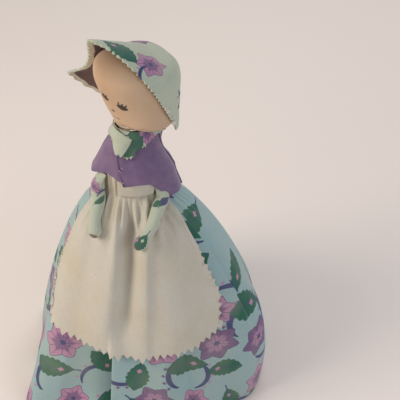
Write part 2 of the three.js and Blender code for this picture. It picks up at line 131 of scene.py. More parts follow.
class DollColours(bpy.types.PropertyGroup):
    """Colours of the cloths and inks."""
    ground: colour("Ground", "94AEAE", "Ground of the printed cotton of the skirt")
    faded: colour("Faded ground", "B4BCA9", "Ground of the paler cotton of bonnet, kerchief and arms")
    leaf: colour("Leaf", "24614A", "Printed leaves")
    petal: colour("Petal", "B283A0", "Printed pink petals")
    plum: colour("Plum", "74557C", "Printed plum petals")
    navy: colour("Navy", "3E4570", "Printed stems and outlines")
    cream: colour("Cream", "C8C2B4", "Unbleached apron muslin")
    tan: colour("Tan", "C4A78A", "Toned muslin of the face")
    felt: colour("Felt", "755E7D", "Wool felt of the cape")
    ink: colour("Ink", "1F1615", "Ink of the face and hands")
    # Wrong side of the bonnet's cloth, darkened to a dull mauve as painted shade inside the hood.
    lining: colour("Lining", "6B5553", "Wrong side of the bonnet's cloth")
    card: colour("Card", "8F7A5C", "Greyboard of the base")


def size(name):
    """A length of the settings in millimetres, or another setting as it is."""
    value = getattr(bpy.context.scene.doll_sizes, name)
    is_length = DollSizes.bl_rna.properties[name].unit == "LENGTH"
    return value / MM if is_length else value


def tint(name):
    """A colour of the settings with full alpha."""
    return (*getattr(bpy.context.scene.doll_colours, name), 1.0)


# Numbers over arrays
def smooth(x, start, end):
    """Soft step from 0 at a start to 1 at an end: 3 t^2 - 2 t^3 of the share t between them."""
    t = np.clip((x - start) / (end - start), 0, 1)
    return t * t * (3 - 2 * t)


def bump(x, centre, width):
    """Bell of height 1 round a centre: e to the power of minus the square of distance over width."""
    return np.exp(-(((x - centre) / width) ** 2))


def lerp(a, b, t):
    """Value at a share of the way from a to b."""
    return a + (b - a) * t


def eased(knots, values, t):
    """Smooth curve through values at knots, with the slope at each knot taken from its neighbours."""
    slope = np.gradient(values, knots)
    i = np.clip(np.searchsorted(knots, t, side="right") - 1, 0, len(knots) - 2)
    step = knots[i + 1] - knots[i]
    x = (t - knots[i]) / step
    start = values[i] * (1 + 2 * x) * (1 - x) ** 2 + slope[i] * step * x * (1 - x) ** 2
    return start + values[i + 1] * x * x * (3 - 2 * x) + slope[i + 1] * step * x * x * (x - 1)


def rounding(depth, power):
    """Share of a width that is left at a depth from 0 to 1, on a rounded curve: (1 - d^p)^(1/p)."""
    return (1 - depth ** power) ** (1 / power)


def run_along(points):
    """Way along a row of points, from 0 at its first one."""
    return np.concatenate([[0], np.cumsum(np.linalg.norm(np.diff(points, axis=0), axis=1))])


def spans(columns, rows):
    """Two grids that run from 0 to 1, along the columns and down the rows."""
    return np.meshgrid(np.linspace(0, 1, columns + 1), np.linspace(0, 1, rows + 1))


def around(angle, radius, height, x=BODY_X, y=BODY_Y):
    """Points at an angle from the front round an upright axis: x + r sin a, y - r cos a, height."""
    flat = np.broadcast_arrays(x + radius * np.sin(angle), y - radius * np.cos(angle), height)
    return np.stack(flat, -1).astype(float)


def pinked(t, teeth):
    """Zigzag of a pinked edge, 0 at its notches and 1 at its points."""
    return 1 - 2 * np.abs((t * teeth) % 1 - 0.5)


def wrinkles(x, y, seed, wave, count=14):
    """Soft random creases of cloth: a sum of sine waves of random direction, about one wave length long."""
    draw = np.random.default_rng(seed)
    total = np.zeros(np.broadcast(x, y).shape)
    for way, stretch, phase in zip(draw.uniform(0, np.pi, count), draw.uniform(0.6, 2.2, count),
                                   draw.uniform(0, TURN, count)):
        across = (x * np.cos(way) + y * np.sin(way)) * TURN / (wave * stretch)
        total += stretch * np.sin(across + phase + 0.7 * np.sin(0.6 * across + 2 * phase))
    return total / (1.4 * np.sqrt(count))


# Meshes
def grid_object(name, points, pattern, closed=False, flip=False):
    """Quad mesh over a grid of points in millimetres; its UV map is the flat pattern in metres."""
    rows, columns = points.shape[:2]
    i = np.arange(rows - 1)[:, None]
    j = np.arange(columns if closed else columns - 1)[None, :]
    k = (j + 1) % columns
    quads = np.stack([i * columns + j, i * columns + k, (i + 1) * columns + k, (i + 1) * columns + j], -1)
    corners = [pattern[i, j], pattern[i, j + 1], pattern[i + 1, j + 1], pattern[i + 1, j]]
    corners = np.stack(corners, 2).reshape(-1, 4, 2)
    quads = quads.reshape(-1, 4)
    if flip:
        quads, corners = quads[:, ::-1], corners[:, ::-1]
    return mesh_object(name, points.reshape(-1, 3), quads, corners)


def mesh_object(name, points, faces, corners):
    """Object of a mesh from points in millimetres, faces of one size and UVs for their corners."""
    mesh = bpy.data.meshes.new(name)
    mesh.from_pydata(points * MM, [], faces.tolist())
    layer = mesh.uv_layers.new(name="pattern")
    layer.data.foreach_set("uv", (np.ascontiguousarray(corners, float) * MM).ravel())
    mesh.polygons.foreach_set("use_smooth", np.ones(len(faces), bool))
    mesh.update()
    obj = bpy.data.objects.new(name, mesh)
    bpy.context.collection.objects.link(obj)
    return obj


def cut_edges(mesh):
    """Marks the open edges of a sheet as sharp, so that its cut edge looks crisp once it is thick."""
    used = np.empty(len(mesh.loops), np.int32)
    mesh.loops.foreach_get("edge_index", used)
    sharp = mesh.attributes.new("sharp_edge", "BOOLEAN", "EDGE")
    sharp.data.foreach_set("value", np.bincount(used, minlength=len(mesh.edges)) == 1)


def mark(obj, name, values):
    """Stores a number at each point of a piece, for its material to read by name."""
    layer = obj.data.attributes.new(name, "FLOAT", "POINT")
    layer.data.foreach_set("value", np.ascontiguousarray(values, np.float32).ravel())


def thicken(obj, thickness, inner=None):
    """Gives a sheet its thickness on the inner side, with a material of its own there if one is named."""
    cut_edges(obj.data)
    if inner:
        obj.data.materials.append(inner)
    wall = obj.modifiers.new("Cloth thickness", "SOLIDIFY")
    wall.thickness = thickness * MM
    wall.offset = -1
    wall.use_quality_normals = True
    wall.material_offset = 1 if inner else 0


def close_ends(points, first=True):
    """Adds rows that shrink to the middle of the end rings, so that a tube is a closed bag."""
    rows = [points, np.repeat(points[-1:].mean(1, keepdims=True), points.shape[1], 1)]
    if first:
        rows.insert(0, np.repeat(points[:1].mean(1, keepdims=True), points.shape[1], 1))
    return np.concatenate(rows)


def weld(obj, closed=True):
    """Merges the points of a pole into one and turns the faces of a closed bag outwards."""
    shape = bmesh.new()
    shape.from_mesh(obj.data)
    bmesh.ops.remove_doubles(shape, verts=shape.verts, dist=1e-6)
    if closed:
        bmesh.ops.recalc_face_normals(shape, faces=shape.faces)
    shape.to_mesh(obj.data)
    shape.free()


def dress(obj, body, slot, *nodes):
    """Sets a piece on the body that it rides on and hides the nodes that it stands for; its slot is not
    used.
    """
    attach(obj, body)
    if nodes:
        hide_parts(*nodes)


def sheet_area(obj):
    """Area of one face of a sheet before it is thickened, in square metres."""
    areas = np.empty(len(obj.data.polygons))
    obj.data.polygons.foreach_get("area", areas)
    return float(areas.sum())


def hang(obj, material, thickness, body, slot, stands_for, inner=None, area=None):
    """Makes a grid a piece of cloth: gives it its material and its thickness and sets it on its body. The
    area of its cut, that of the grid if none is given, is worked out but not used."""
    obj.data.materials.append(material)
    cut = sheet_area(obj) if area is None else area
    thicken(obj, thickness, inner)
    dress(obj, body, slot, stands_for)


def closed_tube(name, rings, pattern, material):
    """A piece from the rings of a tube, with its ends closed."""
    pattern = np.concatenate([pattern[:1], pattern, pattern[-1:]])
    made = grid_object(name, close_ends(rings[:, :-1]), pattern, closed=True)
    weld(made)
    made.data.materials.append(material)
    return made


def plain_bag(name, points, material):
    """A closed bag from rings of points, of one plain cloth that shows no pattern."""
    rows, columns = points.shape[:2]
    bag = grid_object(name, close_ends(points), np.zeros((rows + 2, columns + 1, 2)), closed=True)
    weld(bag)
    bag.data.materials.append(material)
    return bag


# Stuffing by cloth simulation: enlargement, frames, inner pressure and steps in each frame
FILL_SCALE = 20
FILL_FRAMES = 20
FILL_PRESSURE = 4
FILL_QUALITY = 6


def fill(obj, cap):
    """Stuffs a bag: cloth under inner pressure, worked on an enlarged copy, each point moved at most cap."""
    scene = bpy.context.scene
    count = len(obj.data.vertices)
    before = np.empty(count * 3)
    obj.data.vertices.foreach_get("co", before)
    bag = bpy.data.objects.new(obj.name + "_filling", obj.data.copy())
    bag.data.vertices.foreach_set("co", before * FILL_SCALE)
    bpy.context.collection.objects.link(bag)
    cloth = bag.modifiers.new("Filling", "CLOTH")
    cloth.settings.use_pressure = True
    cloth.settings.uniform_pressure_force = FILL_PRESSURE
    cloth.settings.effector_weights.gravity = 0
    cloth.settings.quality = FILL_QUALITY
    cloth.point_cache.frame_start = 1
    cloth.point_cache.frame_end = FILL_FRAMES
    for number in range(1, FILL_FRAMES + 1):
        scene.frame_set(number)
    filled = bag.evaluated_get(bpy.context.evaluated_depsgraph_get())
    after = np.empty(count * 3)
    filled.data.vertices.foreach_get("co", after)
    step = (after / FILL_SCALE - before).reshape(-1, 3)
    reach = np.linalg.norm(step, axis=1, keepdims=True)
    step *= np.minimum(1, cap * MM / np.maximum(reach, 1e-9))
    obj.data.vertices.foreach_set("co", (before.reshape(-1, 3) + step).ravel())
    obj.data.update()
    mesh = bag.data
    bpy.data.objects.remove(bag)
    bpy.data.meshes.remove(mesh)
    scene.frame_set(1)


# Shader trees
class Field:
    """A number that varies over a surface; arithmetic on fields adds Math nodes to their tree."""

    def __init__(self, tree, source):
        self.tree, self.source = tree, source

    def math(self, operation, *others):
        made = node(self.tree, "ShaderNodeMath", operation=operation)
        for socket, value in zip(made.inputs, (self, *others)):
            feed(self.tree, socket, value)
        return Field(self.tree, made.outputs[0])

    def __add__(self, other):
        return self.math("ADD", other)

    def __sub__(self, other):
        return self.math("SUBTRACT", other)

    def __mul__(self, other):
        return self.math("MULTIPLY", other)

    def __truediv__(self, other):
        return self.math("DIVIDE", other)

    def __abs__(self):
        return self.math("ABSOLUTE")

    def __neg__(self):
        return self.math("MULTIPLY", -1.0)

    def sin(self):
        return self.math("SINE")

    def cos(self):
        return self.math("COSINE")

    def low(self, other):
        return self.math("MINIMUM", other)

    def high(self, other):
        return self.math("MAXIMUM", other)

    def over(self, limit, soft):
        """Mask that rises from 0 to 1 where the field passes a limit, over a soft edge."""
        return ((self - limit) / soft + 0.5).low(1.0).high(0.0)

    def under(self, limit, soft):
        """Mask that falls from 1 to 0 where the field passes a limit, over a soft edge."""
        return (-self).over(-limit, soft)


def feed(tree, socket, value):
    """Links a field or socket to an input, or sets the input to a plain value."""
    if isinstance(value, Field):
        tree.links.new(value.source, socket)
    elif isinstance(value, bpy.types.NodeSocket):
        tree.links.new(value, socket)
    else:
        socket.default_value = value


def node(tree, kind, inputs=None, **settings):
    """A new node with its settings and inputs."""
    made = tree.nodes.new(kind)
    for name, value in settings.items():
        setattr(made, name, value)
    for name, value in (inputs or {}).items():
        feed(tree, made.inputs[name], value)
    return made


def mix(tree, a, b, factor):
    """Colour a that turns into colour b where the factor is 1."""
    made = node(tree, "ShaderNodeMix", data_type="RGBA")
    feed(tree, made.inputs[0], factor)
    feed(tree, made.inputs[6], a)
    feed(tree, made.inputs[7], b)
    return made.outputs[2]


def split(tree, vector):
    """The x and y of a vector as fields."""
    parts = node(tree, "ShaderNodeSeparateXYZ", {"Vector": vector})
    return Field(tree, parts.outputs[0]), Field(tree, parts.outputs[1])


def vector_math(tree, operation, *inputs):
    """The node of a vector operation, with its inputs in order."""
    made = node(tree, "ShaderNodeVectorMath", operation=operation)
    for socket, value in zip(made.inputs, inputs):
        feed(tree, socket, value)
    return made


def scaled(tree, vector, factor):
    """A vector or colour times a factor."""
    made = vector_math(tree, "SCALE", vector)
    feed(tree, made.inputs["Scale"], factor)
    return made.outputs[0]


def noise(tree, vector, scale, detail, distortion=0.0):
    """Soft noise over a surface, as a field."""
    inputs = {"Vector": vector, "Scale": scale, "Detail": detail, "Distortion": distortion}
    return Field(tree, node(tree, "ShaderNodeTexNoise", inputs).outputs[0])


def relief(tree, shader, height, strength, depth):
    """Gives a shader a fine relief of a height, with its depth in millimetres."""
    inputs = {"Height": height, "Strength": strength, "Distance": depth * MM}
    feed(tree, shader.inputs["Normal"], node(tree, "ShaderNodeBump", inputs).outputs[0])


def new_group(name, inputs, outputs):
    """An empty shader group with named sockets: its tree, its input node and its output node."""
    tree = bpy.data.node_groups.new(name, "ShaderNodeTree")
    for label, kind, default in inputs:
        socket = tree.interface.new_socket(name=label, in_out="INPUT", socket_type="NodeSocket" + kind)
        if default is not None:
            socket.default_value = default
    for label, kind in outputs:
        tree.interface.new_socket(name=label, in_out="OUTPUT", socket_type="NodeSocket" + kind)
    return tree, tree.nodes.new("NodeGroupInput"), tree.nodes.new("NodeGroupOutput")


def use(tree, name, **inputs):
    """A shader group placed in a tree, with its inputs given by name."""
    return node(tree, "ShaderNodeGroup", inputs, node_tree=bpy.data.node_groups[name])


def weave_group():
    """Plain weave: threads of a pitch that pass over and under each other, with uneven thickness."""
    tree, given, result = new_group(
        "plain_weave",
        [("Pattern", "Vector", None), ("Pitch", "Float", 0.4)],
        [("Height", "Float"), ("Slub", "Float")],
    )
    x, y = split(tree, given.outputs["Pattern"])
    pitch = Field(tree, given.outputs["Pitch"])
    warp = (x * np.pi / pitch).sin()
    weft = (y * np.pi / pitch).sin()
    over = (warp * weft).over(0, 0.3)
    height = abs(warp) * over + abs(weft) * (over * -1 + 1)
    slubs = []
    for stretch in ((0.25, 2.2, 1.0), (2.2, 0.25, 1.0)):
        stretched = vector_math(tree, "MULTIPLY", given.outputs["Pattern"], stretch)
        slubs.append(noise(tree, stretched.outputs[0], 0.8, 2.0))
    feed(tree, result.inputs["Height"], height)
    feed(tree, result.inputs["Slub"], (slubs[0] + slubs[1]) * 0.5)


MOTIF_COLOURS = ("Fill", "Accent", "Line")
PRINT_COLOURS = ("Petal", "Plum", "Leaf", "Line")


def colour_inputs(labels):
    """Colour sockets of a shader group."""
    return [(label, "Color", None) for label in labels]


def motif_group(name, draw):
    """A printed motif about 16 mm wide: draw adds its nodes and returns its colour and its mask."""
    tree, given, result = new_group(
        name,
        [("Place", "Vector", None), *colour_inputs(MOTIF_COLOURS)],
        [("Color", "Color"), ("Mask", "Float")],
    )
    x, y = split(tree, given.outputs["Place"])
    colour_now, mask = draw(tree, x, y, *(given.outputs[label] for label in MOTIF_COLOURS))
    feed(tree, result.inputs["Color"], colour_now)
    feed(tree, result.inputs["Mask"], mask)


def draw_leaf(tree, x, y, fill_colour, accent, line):
    """Broad toothed leaf 15 mm long with a midrib, slanting ribs and a short stalk."""
    aside = abs(y)
    teeth = abs((x * 1.5).sin()) * 0.16 + 0.9
    half = (x * x * -0.0178 + 1.0) * teeth * (x * 0.03 + 1.0) * 4.1
    blade = aside.under(half, 0.25) * abs(x).under(7.4, 0.3)
    ribs = (abs((x * 1.25 - aside * 1.1).sin()).under(0.2, 0.12) * aside.under(half * 0.8, 0.3)).high(
        aside.under(0.24, 0.14))
    heart = (abs(x + 2.6) * 0.8 + aside).under(1.0, 0.25)
    stalk = aside.under(0.3, 0.15) * abs(x + 8.4).under(1.6, 0.2)
    colour_now = mix(tree, fill_colour, line, ribs * 0.55)
    colour_now = mix(tree, colour_now, accent, heart)
    return mix(tree, colour_now, line, stalk), blade.high(stalk)


def draw_bloom(tree, x, y, fill_colour, accent, line):
    """Open flower 12 mm wide: six notched petals with dark veins round a small heart."""
    radius = (x * x + y * y).math("SQRT")
    turn = y.math("ARCTAN2", x)
    rim = abs((turn * 3).cos()) * 2.0 + (turn * 12).cos() * 0.25 + 4.3
    petals = radius.under(rim, 0.25)
    outline = abs(radius - rim).under(0.17, 0.16)
    vein = (abs((turn * 3).sin()) * radius).under(0.3, 0.22) * radius.under(rim * 0.85, 0.4)
    gap = (abs((turn * 3).cos()) * radius).under(0.35, 0.2) * radius.over(1.8, 0.3)
    colour_now = mix(tree, fill_colour, accent, radius.under(rim * 0.55, 0.9) * 0.8)
    colour_now = mix(tree, colour_now, line, outline.high(vein).high(gap * petals) * 0.8)
    return mix(tree, colour_now, line, radius.under(0.9, 0.25)), petals.high(outline)


def draw_stem(tree, x, y, fill_colour, accent, line):
    """Curved stem 14 mm long that swells in its middle, with a few small buds on its outer side."""
    bow = ((x + 7.0) * (x + 7.0) + y * y).math("SQRT")
    turn = y.math("ARCTAN2", x + 7.0)
    stroke = abs(bow - 7.5).under((turn * turn * -0.55 + 0.95), 0.25) * abs(turn).under(1.15, 0.05)
    buds = (abs((turn * 9).sin()) * 1.1 + abs(bow - 9.2) * 0.9).under(0.75, 0.25)
    buds = buds * abs(turn).under(0.8, 0.05)
    return mix(tree, line, fill_colour, buds), stroke.high(buds)


def turned(tree, x, y, c, s):
    """Local x and y turned by an angle of a given cosine and sine, joined to a vector."""
    joined = node(tree, "ShaderNodeCombineXYZ")
    feed(tree, joined.inputs[0], x * c + y * s)
    feed(tree, joined.inputs[1], y * c - x * s)
    return joined.outputs[0]


# Nets of the all-over print: motif, spacing, looseness, place of the net, size and share of its cells
PRINT_NETS = (
    ("printed_stem", 21.0, 0.5, (7.0, 3.0), 1.1, 0.9),
    ("printed_leaf", 21.0, 0.5, (0.0, 0.0), 1.1, 0.95),
    ("printed_bloom", 23.0, 0.5, (13.0, 9.0), 1.15, 0.9),
)


def print_group():
    """All-over print: nets of loose cells laid over each other, with one turned motif in most cells."""
    tree, given, result = new_group(
        "sprigged_print",
        [("Pattern", "Vector", None), *colour_inputs(("Ground", *PRINT_COLOURS))],
        [("Color", "Color")],
    )
    petal, plum, leaf, line = (given.outputs[label] for label in PRINT_COLOURS)
    colour_now = given.outputs["Ground"]
    for motif, spacing, looseness, offset, grow, share in PRINT_NETS:
        pattern = shifted(tree, given.outputs["Pattern"], offset)
        cells = {"Vector": pattern, "Scale": 1 / spacing, "Randomness": looseness}
        net = node(tree, "ShaderNodeTexVoronoi", cells, voronoi_dimensions="2D")
        local = vector_math(tree, "SUBTRACT", pattern, net.outputs["Position"])
        chance = node(tree, "ShaderNodeSeparateColor", {"Color": net.outputs["Color"]})
        turn, size_chance, pick = (Field(tree, socket) for socket in chance.outputs)
        x, y = split(tree, local.outputs[0])
        scale = size_chance * 0.3 + 0.9 * grow
        angle = turn * TURN
        place = turned(tree, x / scale, y / scale, angle.cos(), angle.sin())
        other = pick.over(0.55, 0.01)
        if motif == "printed_leaf":
            fills, accents = leaf, petal
        else:
            fills, accents = mix(tree, petal, plum, other), mix(tree, plum, petal, other)
        drawn = use(tree, motif, Place=place, Fill=fills, Accent=accents, Line=line)
        shown = Field(tree, drawn.outputs["Mask"]) * size_chance.under(share, 0.01)
        colour_now = mix(tree, colour_now, drawn.outputs["Color"], shown)
    feed(tree, result.inputs["Color"], colour_now)


# Colour of the small dark specks
SPECK = (0.02, 0.012, 0.008, 1.0)


def fade_group():
    """Age of a cloth: broad soft patches of a second colour and small dark specks, by amount."""
    tree, given, result = new_group(
        "cloth_age",
        [("Place", "Vector", None), *colour_inputs(("Color", "Stain")), ("Amount", "Float", 0.3),
         ("Pattern", "Vector", None), ("Specks", "Float", 0.0)],
        [("Color", "Color")],
    )
    patch = noise(tree, given.outputs["Place"], 55.0, 3.0).over(0.56, 0.3)
    amount = Field(tree, given.outputs["Amount"])
    aged = mix(tree, given.outputs["Color"], given.outputs["Stain"], patch * amount)
    net = node(tree, "ShaderNodeTexVoronoi", {"Vector": given.outputs["Pattern"], "Scale": 0.12},
               voronoi_dimensions="2D")
    chance = node(tree, "ShaderNodeSeparateColor", {"Color": net.outputs["Color"]})
    few = Field(tree, chance.outputs[0]).over(0.95, 0.01)
    dot = Field(tree, chance.outputs[1]) * 0.05 + 0.02
    speck = Field(tree, net.outputs["Distance"]).under(dot, 0.04) * few
    aged = mix(tree, aged, SPECK, speck * Field(tree, given.outputs["Specks"]))
    feed(tree, result.inputs["Color"], aged)


def pattern_mm(tree):
    """The piece's flat pattern in millimetres, from its UV map."""
    return scaled(tree, node(tree, "ShaderNodeUVMap", uv_map="pattern").outputs[0], 1 / MM)


def shifted(tree, vector, offset):
    """A vector moved by an offset across and down."""
    return vector_math(tree, "ADD", vector, (*offset, 0.0)).outputs[0]


CLOTH_SPECULAR = 0.2
SHEEN_ROUGHNESS = 0.6


def cloth_material(name, roughness, sheen):
    """An empty cloth material, its tree and its shader, with plain numbers on the shader's own sockets."""
    made = bpy.data.materials.new(name)
    made.use_nodes = True
    tree = made.node_tree
    shader = tree.nodes["Principled BSDF"]
    shader.inputs["Roughness"].default_value = roughness
    shader.inputs["Specular IOR Level"].default_value = CLOTH_SPECULAR
    shader.inputs["Sheen Weight"].default_value = sheen
    shader.inputs["Sheen Roughness"].default_value = SHEEN_ROUGHNESS
    return made, tree, shader


def finish_cloth(tree, shader, paint, weave_pitch, depth, slub=0.25):
    """Weave relief and uneven threads over a paint colour."""
    weave = use(tree, "plain_weave", Pattern=pattern_mm(tree), Pitch=weave_pitch)
    uneven = (Field(tree, weave.outputs["Slub"]) - 0.5) * slub + 1.0
    feed(tree, shader.inputs["Base Color"], scaled(tree, paint, uneven))
    relief(tree, shader, weave.outputs["Height"], 0.5, depth)


def marked(tree, name):
    """The number that a piece stores at its points under a name."""
    return Field(tree, node(tree, "ShaderNodeAttribute", attribute_name=name).outputs["Fac"])


def object_place(tree):
    """Places on the piece, in the frame's metres."""
    return node(tree, "ShaderNodeTexCoord").outputs["Object"]


def print_material(name, offset=(0.0, 0.0), sprigs=None, tip=None):
    """Printed cotton: an all-over print, or single motifs at places of the pattern on a paler ground."""
    made, tree, shader = cloth_material(name, 0.9, 0.15)
    pattern = pattern_mm(tree)
    if sprigs is None:
        printed = use(tree, "sprigged_print", Pattern=shifted(tree, pattern, offset), Ground=tint("ground"),
                      Petal=tint("petal"), Plum=tint("plum"), Leaf=tint("leaf"), Line=tint("navy"))
        paint = printed.outputs["Color"]
    else:
        paint = tint("faded")
        for motif, across, down, turn, grow, (fill_name, accent) in sprigs:
            x, y = split(tree, shifted(tree, pattern, (-across, -down)))
            place = turned(tree, x, y, np.cos(turn) / grow, np.sin(turn) / grow)
            drawn = use(tree, "printed_" + motif, Place=place, Fill=tint(fill_name), Accent=tint(accent),
                        Line=tint("navy"))
            paint = mix(tree, paint, drawn.outputs["Color"], drawn.outputs["Mask"])
    if tip is not None:
        x, y = split(tree, pattern)
        # The end of the sleeve at the hand turns dark brown, up to a curved line.
        edge = (y - (x * 0.42 - 0.6).cos() * 0.9).under(tip, 0.4)
        paint = mix(tree, paint, linear_tint("5B3F38"), edge * 0.85)
    aged = use(tree, "cloth_age", Place=object_place(tree), Color=paint, Stain=linear_tint("B9B59A"),
               Amount=0.22)
    finish_cloth(tree, shader, aged.outputs["Color"], 0.36, 0.05)
    return made


def muslin_material(name, base, stain, specks):
    """Unbleached muslin with visible threads, yellowed patches and a few specks."""
    made, tree, shader = cloth_material(name, 0.92, 0.1)
    aged = use(tree, "cloth_age", Place=object_place(tree), Color=tint(base), Stain=linear_tint(stain),
               Amount=0.4, Pattern=pattern_mm(tree), Specks=specks)
    finish_cloth(tree, shader, aged.outputs["Color"], 0.42, 0.07, 0.3)
    return made


def felt_material():
    """Pressed wool felt: matted fibres, mottled colour, a painted shadow line along the lapped edge and a
    soft sheen, with no weave.
    """
    made, tree, shader = cloth_material("purple_felt", 1.0, 0.35)
    place = object_place(tree)
    fibre = noise(tree, place, 2600.0, 3.0, 1.5)
    matted = noise(tree, place, 320.0, 4.0)
    light = matted * 0.35 + noise(tree, place, 70.0, 2.0) * 0.3 + fibre * 0.3
    mottle_and_lap_shadow = mix(tree, tint("felt"), linear_tint("9C7E97"), light.over(0.56, 0.25) * 0.45)
    mottle_and_lap_shadow = mix(tree, mottle_and_lap_shadow, linear_tint("5A4A72"), light.under(0.42, 0.2) * 0.5)
    # Painted shadow: a dark line along the lapped edge of the left front, where it stands over the right
    # one.
    mottle_and_lap_shadow = mix(tree, mottle_and_lap_shadow, linear_tint("2E2233"), marked(tree, "lap_edge") * 0.8)
    feed(tree, shader.inputs["Base Color"], mottle_and_lap_shadow)
    relief(tree, shader, fibre * 0.6 + matted, 0.6, 0.25)
    return made


def lining_material():
    """Wrong side of the bonnet's cloth, with a pale turned-in edge at the brim; its dull dark mauve is
    painted shade inside the hood.
    """
    made, tree, shader = cloth_material("bonnet_lining", 0.95, 0.1)
    # The dark mauve stands in for the shade inside the hood: painted shade over the cloth's wrong side.
    aged = use(tree, "cloth_age", Place=object_place(tree), Color=tint("lining"),
               Stain=linear_tint("8C7A6E"), Amount=0.6)
    ragged = noise(tree, object_place(tree), 420.0, 2.0)
    turned_in = (marked(tree, "brim") + (ragged - 0.5) * 0.06).over(0.935, 0.02)
    paint = mix(tree, aged.outputs["Color"], linear_tint("DDD8C2"), turned_in)
    finish_cloth(tree, shader, paint, 0.36, 0.05)
    return made


def thread_material(name, light, dark):
    """Cotton thread: twisted strands along the thread."""
    made, tree, shader = cloth_material(name, 0.7, 0.2)
    x, y = split(tree, pattern_mm(tree))
    strand = (x * 9.0 + y * 7.0).sin()
    shade = mix(tree, linear_tint(light), linear_tint(dark), strand.over(0, 1.2))
    feed(tree, shader.inputs["Base Color"], shade)
    relief(tree, shader, strand, 0.6, 0.05)
    return made


def card_material():
    """Greyboard: pressed paper fibres with flecks."""
    made, tree, shader = cloth_material("greyboard", 0.9, 0.0)
    place = object_place(tree)
    fibre = noise(tree, place, 900.0, 4.0)
    fleck = noise(tree, place, 2500.0, 1.0)
    tone = mix(tree, tint("card"), linear_tint("A8977B"), fibre.over(0.5, 0.3))
    tone = mix(tree, tone, linear_tint("5E4F3C"), fleck.over(0.68, 0.06))
    feed(tree, shader.inputs["Base Color"], tone)
    relief(tree, shader, fibre, 0.4, 0.1)
    return made


# Skirt
def skirt_profile(s):
    """Bezier from waist to hem: radius, height and the unit direction downwards along the cloth."""
    waist, hem, top = size("waist_radius"), size("hem_radius"), size("waist_height")
    corners = np.array([[waist, top], [waist + size("hip_reach"), top],
                        [hem - size("hem_flare"), size("hem_rise")], [hem, 0]])
    s = np.asarray(s, float)[..., None]
    a, b, c, d = corners
    at = a * (1 - s) ** 3 + 3 * b * s * (1 - s) ** 2 + 3 * c * s ** 2 * (1 - s) + d * s ** 3
    way = (b - a) * (1 - s) ** 2 + 2 * (c - b) * s * (1 - s) + (d - c) * s ** 2
    way = way / np.linalg.norm(way, axis=-1, keepdims=True)
    return at[..., 0], at[..., 1], way[..., 0], way[..., 1]


# Broad folds, fine gathers at the waist, the hem's two corners and the swell at the doll's left side
FOLD_PHASE = 2.8
FOLD_GROWTH = 1.2
GATHERS = 38
GATHER_DEPTH = 0.55
HEM_CORNERS = ({"at": -49, "spread": 11, "reach": 13.5}, {"at": 57, "spread": 9, "reach": 3.0})
SIDE_SWELL = {"at": 78, "spread": 37, "reach": 8.2}
# Long creases: angle at the waist and at the hem, height, and width on either side
CREASES = (
    (-96, -104, 1.0, 12, 6),
    (150, 146, 1.4, 6, 14),
    (-140, -132, 1.2, 12, 7),
    (190, 184, 1.2, 8, 12),
)
# Ways down the cloth where a tuck starts to open, is open, starts to close and is shut
TO_HEM = (0.5, 0.85, 0.88, 1.04)
UNDER_APRON = (0.62, 0.8, 0.88, 1.04)
BELOW_WAIST = (0.06, 0.2, 0.6, 0.78)
# Tucks: start, deepest and last angle, depth, steepness and where each opens and closes
TUCKS = (
    (-40, -15, -12.5, 11.0, 1.0, UNDER_APRON),
    (15, 27, 40, 4.2, 1.0, UNDER_APRON),
    (84, 104, 108, 2.4, 1.4, TO_HEM),
    (-88, -70, -66, 2.4, 1.4, TO_HEM),
    (150, 172, 176, 2.6, 1.4, TO_HEM),
    (-160, -134, -130, 2.6, 1.4, TO_HEM),
    (128, 67, 64.5, 3.2, 1.4, BELOW_WAIST),
)
# Valley down the front, under the apron: angle at the waist, drift down the cloth, widths and depth
VALLEY = {"at": 2.0, "drift": -16.0, "right": 6.0, "left": 7.0, "depth": 4.6}
# Row on which the cloth that the tucks take up is measured
TUCKED_ROW = 0.84
# Share of a full turn to which the cone of the skirt is laid flat
CONE_SPREAD = 0.41
# Grid: the way down of its last row, columns, rows, and the collar's rows and run of cloth
HEM_END = 0.998
SKIRT_COLUMNS = 480
SKIRT_ROWS = 150
COLLAR_ROWS = 14
COLLAR_RUN = 16
# Wound threads: thickness, pitch, turns, and how far the skirt's one lies below the collar's edge
THREAD = 0.5
THREAD_PITCH = 1.0
THREAD_TURNS = 2
THREAD_DROP = 3.1


def turn_from(angle, degree):
    """Degrees from a direction, between -180 and 180."""
    return (np.degrees(angle) - degree + 180) % 360 - 180


def skirt_swing(angle, s):
    """Broad folds, two cosines of the angle that deepen to the hem, with two corners that stand out there
    and a swell at the left side, each a bell over the angle."""
    count = size("fold_count")
    main = 0.75 * np.cos(count * angle + FOLD_PHASE)
    slow = 0.25 * np.cos(count / 2 * angle - 2 * FOLD_PHASE)
    swing = size("fold_depth") * s ** FOLD_GROWTH * (main + slow)
    for corner in HEM_CORNERS:
        swing = swing + corner["reach"] * s ** 3 * bump(turn_from(angle, corner["at"]), 0, corner["spread"])
    side = bump(turn_from(angle, SIDE_SWELL["at"]), 0, SIDE_SWELL["spread"])
    return swing + side * SIDE_SWELL["reach"] * 4 * s ** 2 * (1 - s ** 2)


def waist_gathers(angle):
    """Fine uneven gathers: a cosine of an angle that wanders."""
    wander = angle + 0.05 * np.sin(3 * angle) + 0.03 * np.sin(7 * angle + 1)
    return GATHER_DEPTH * np.cos(GATHERS * wander)


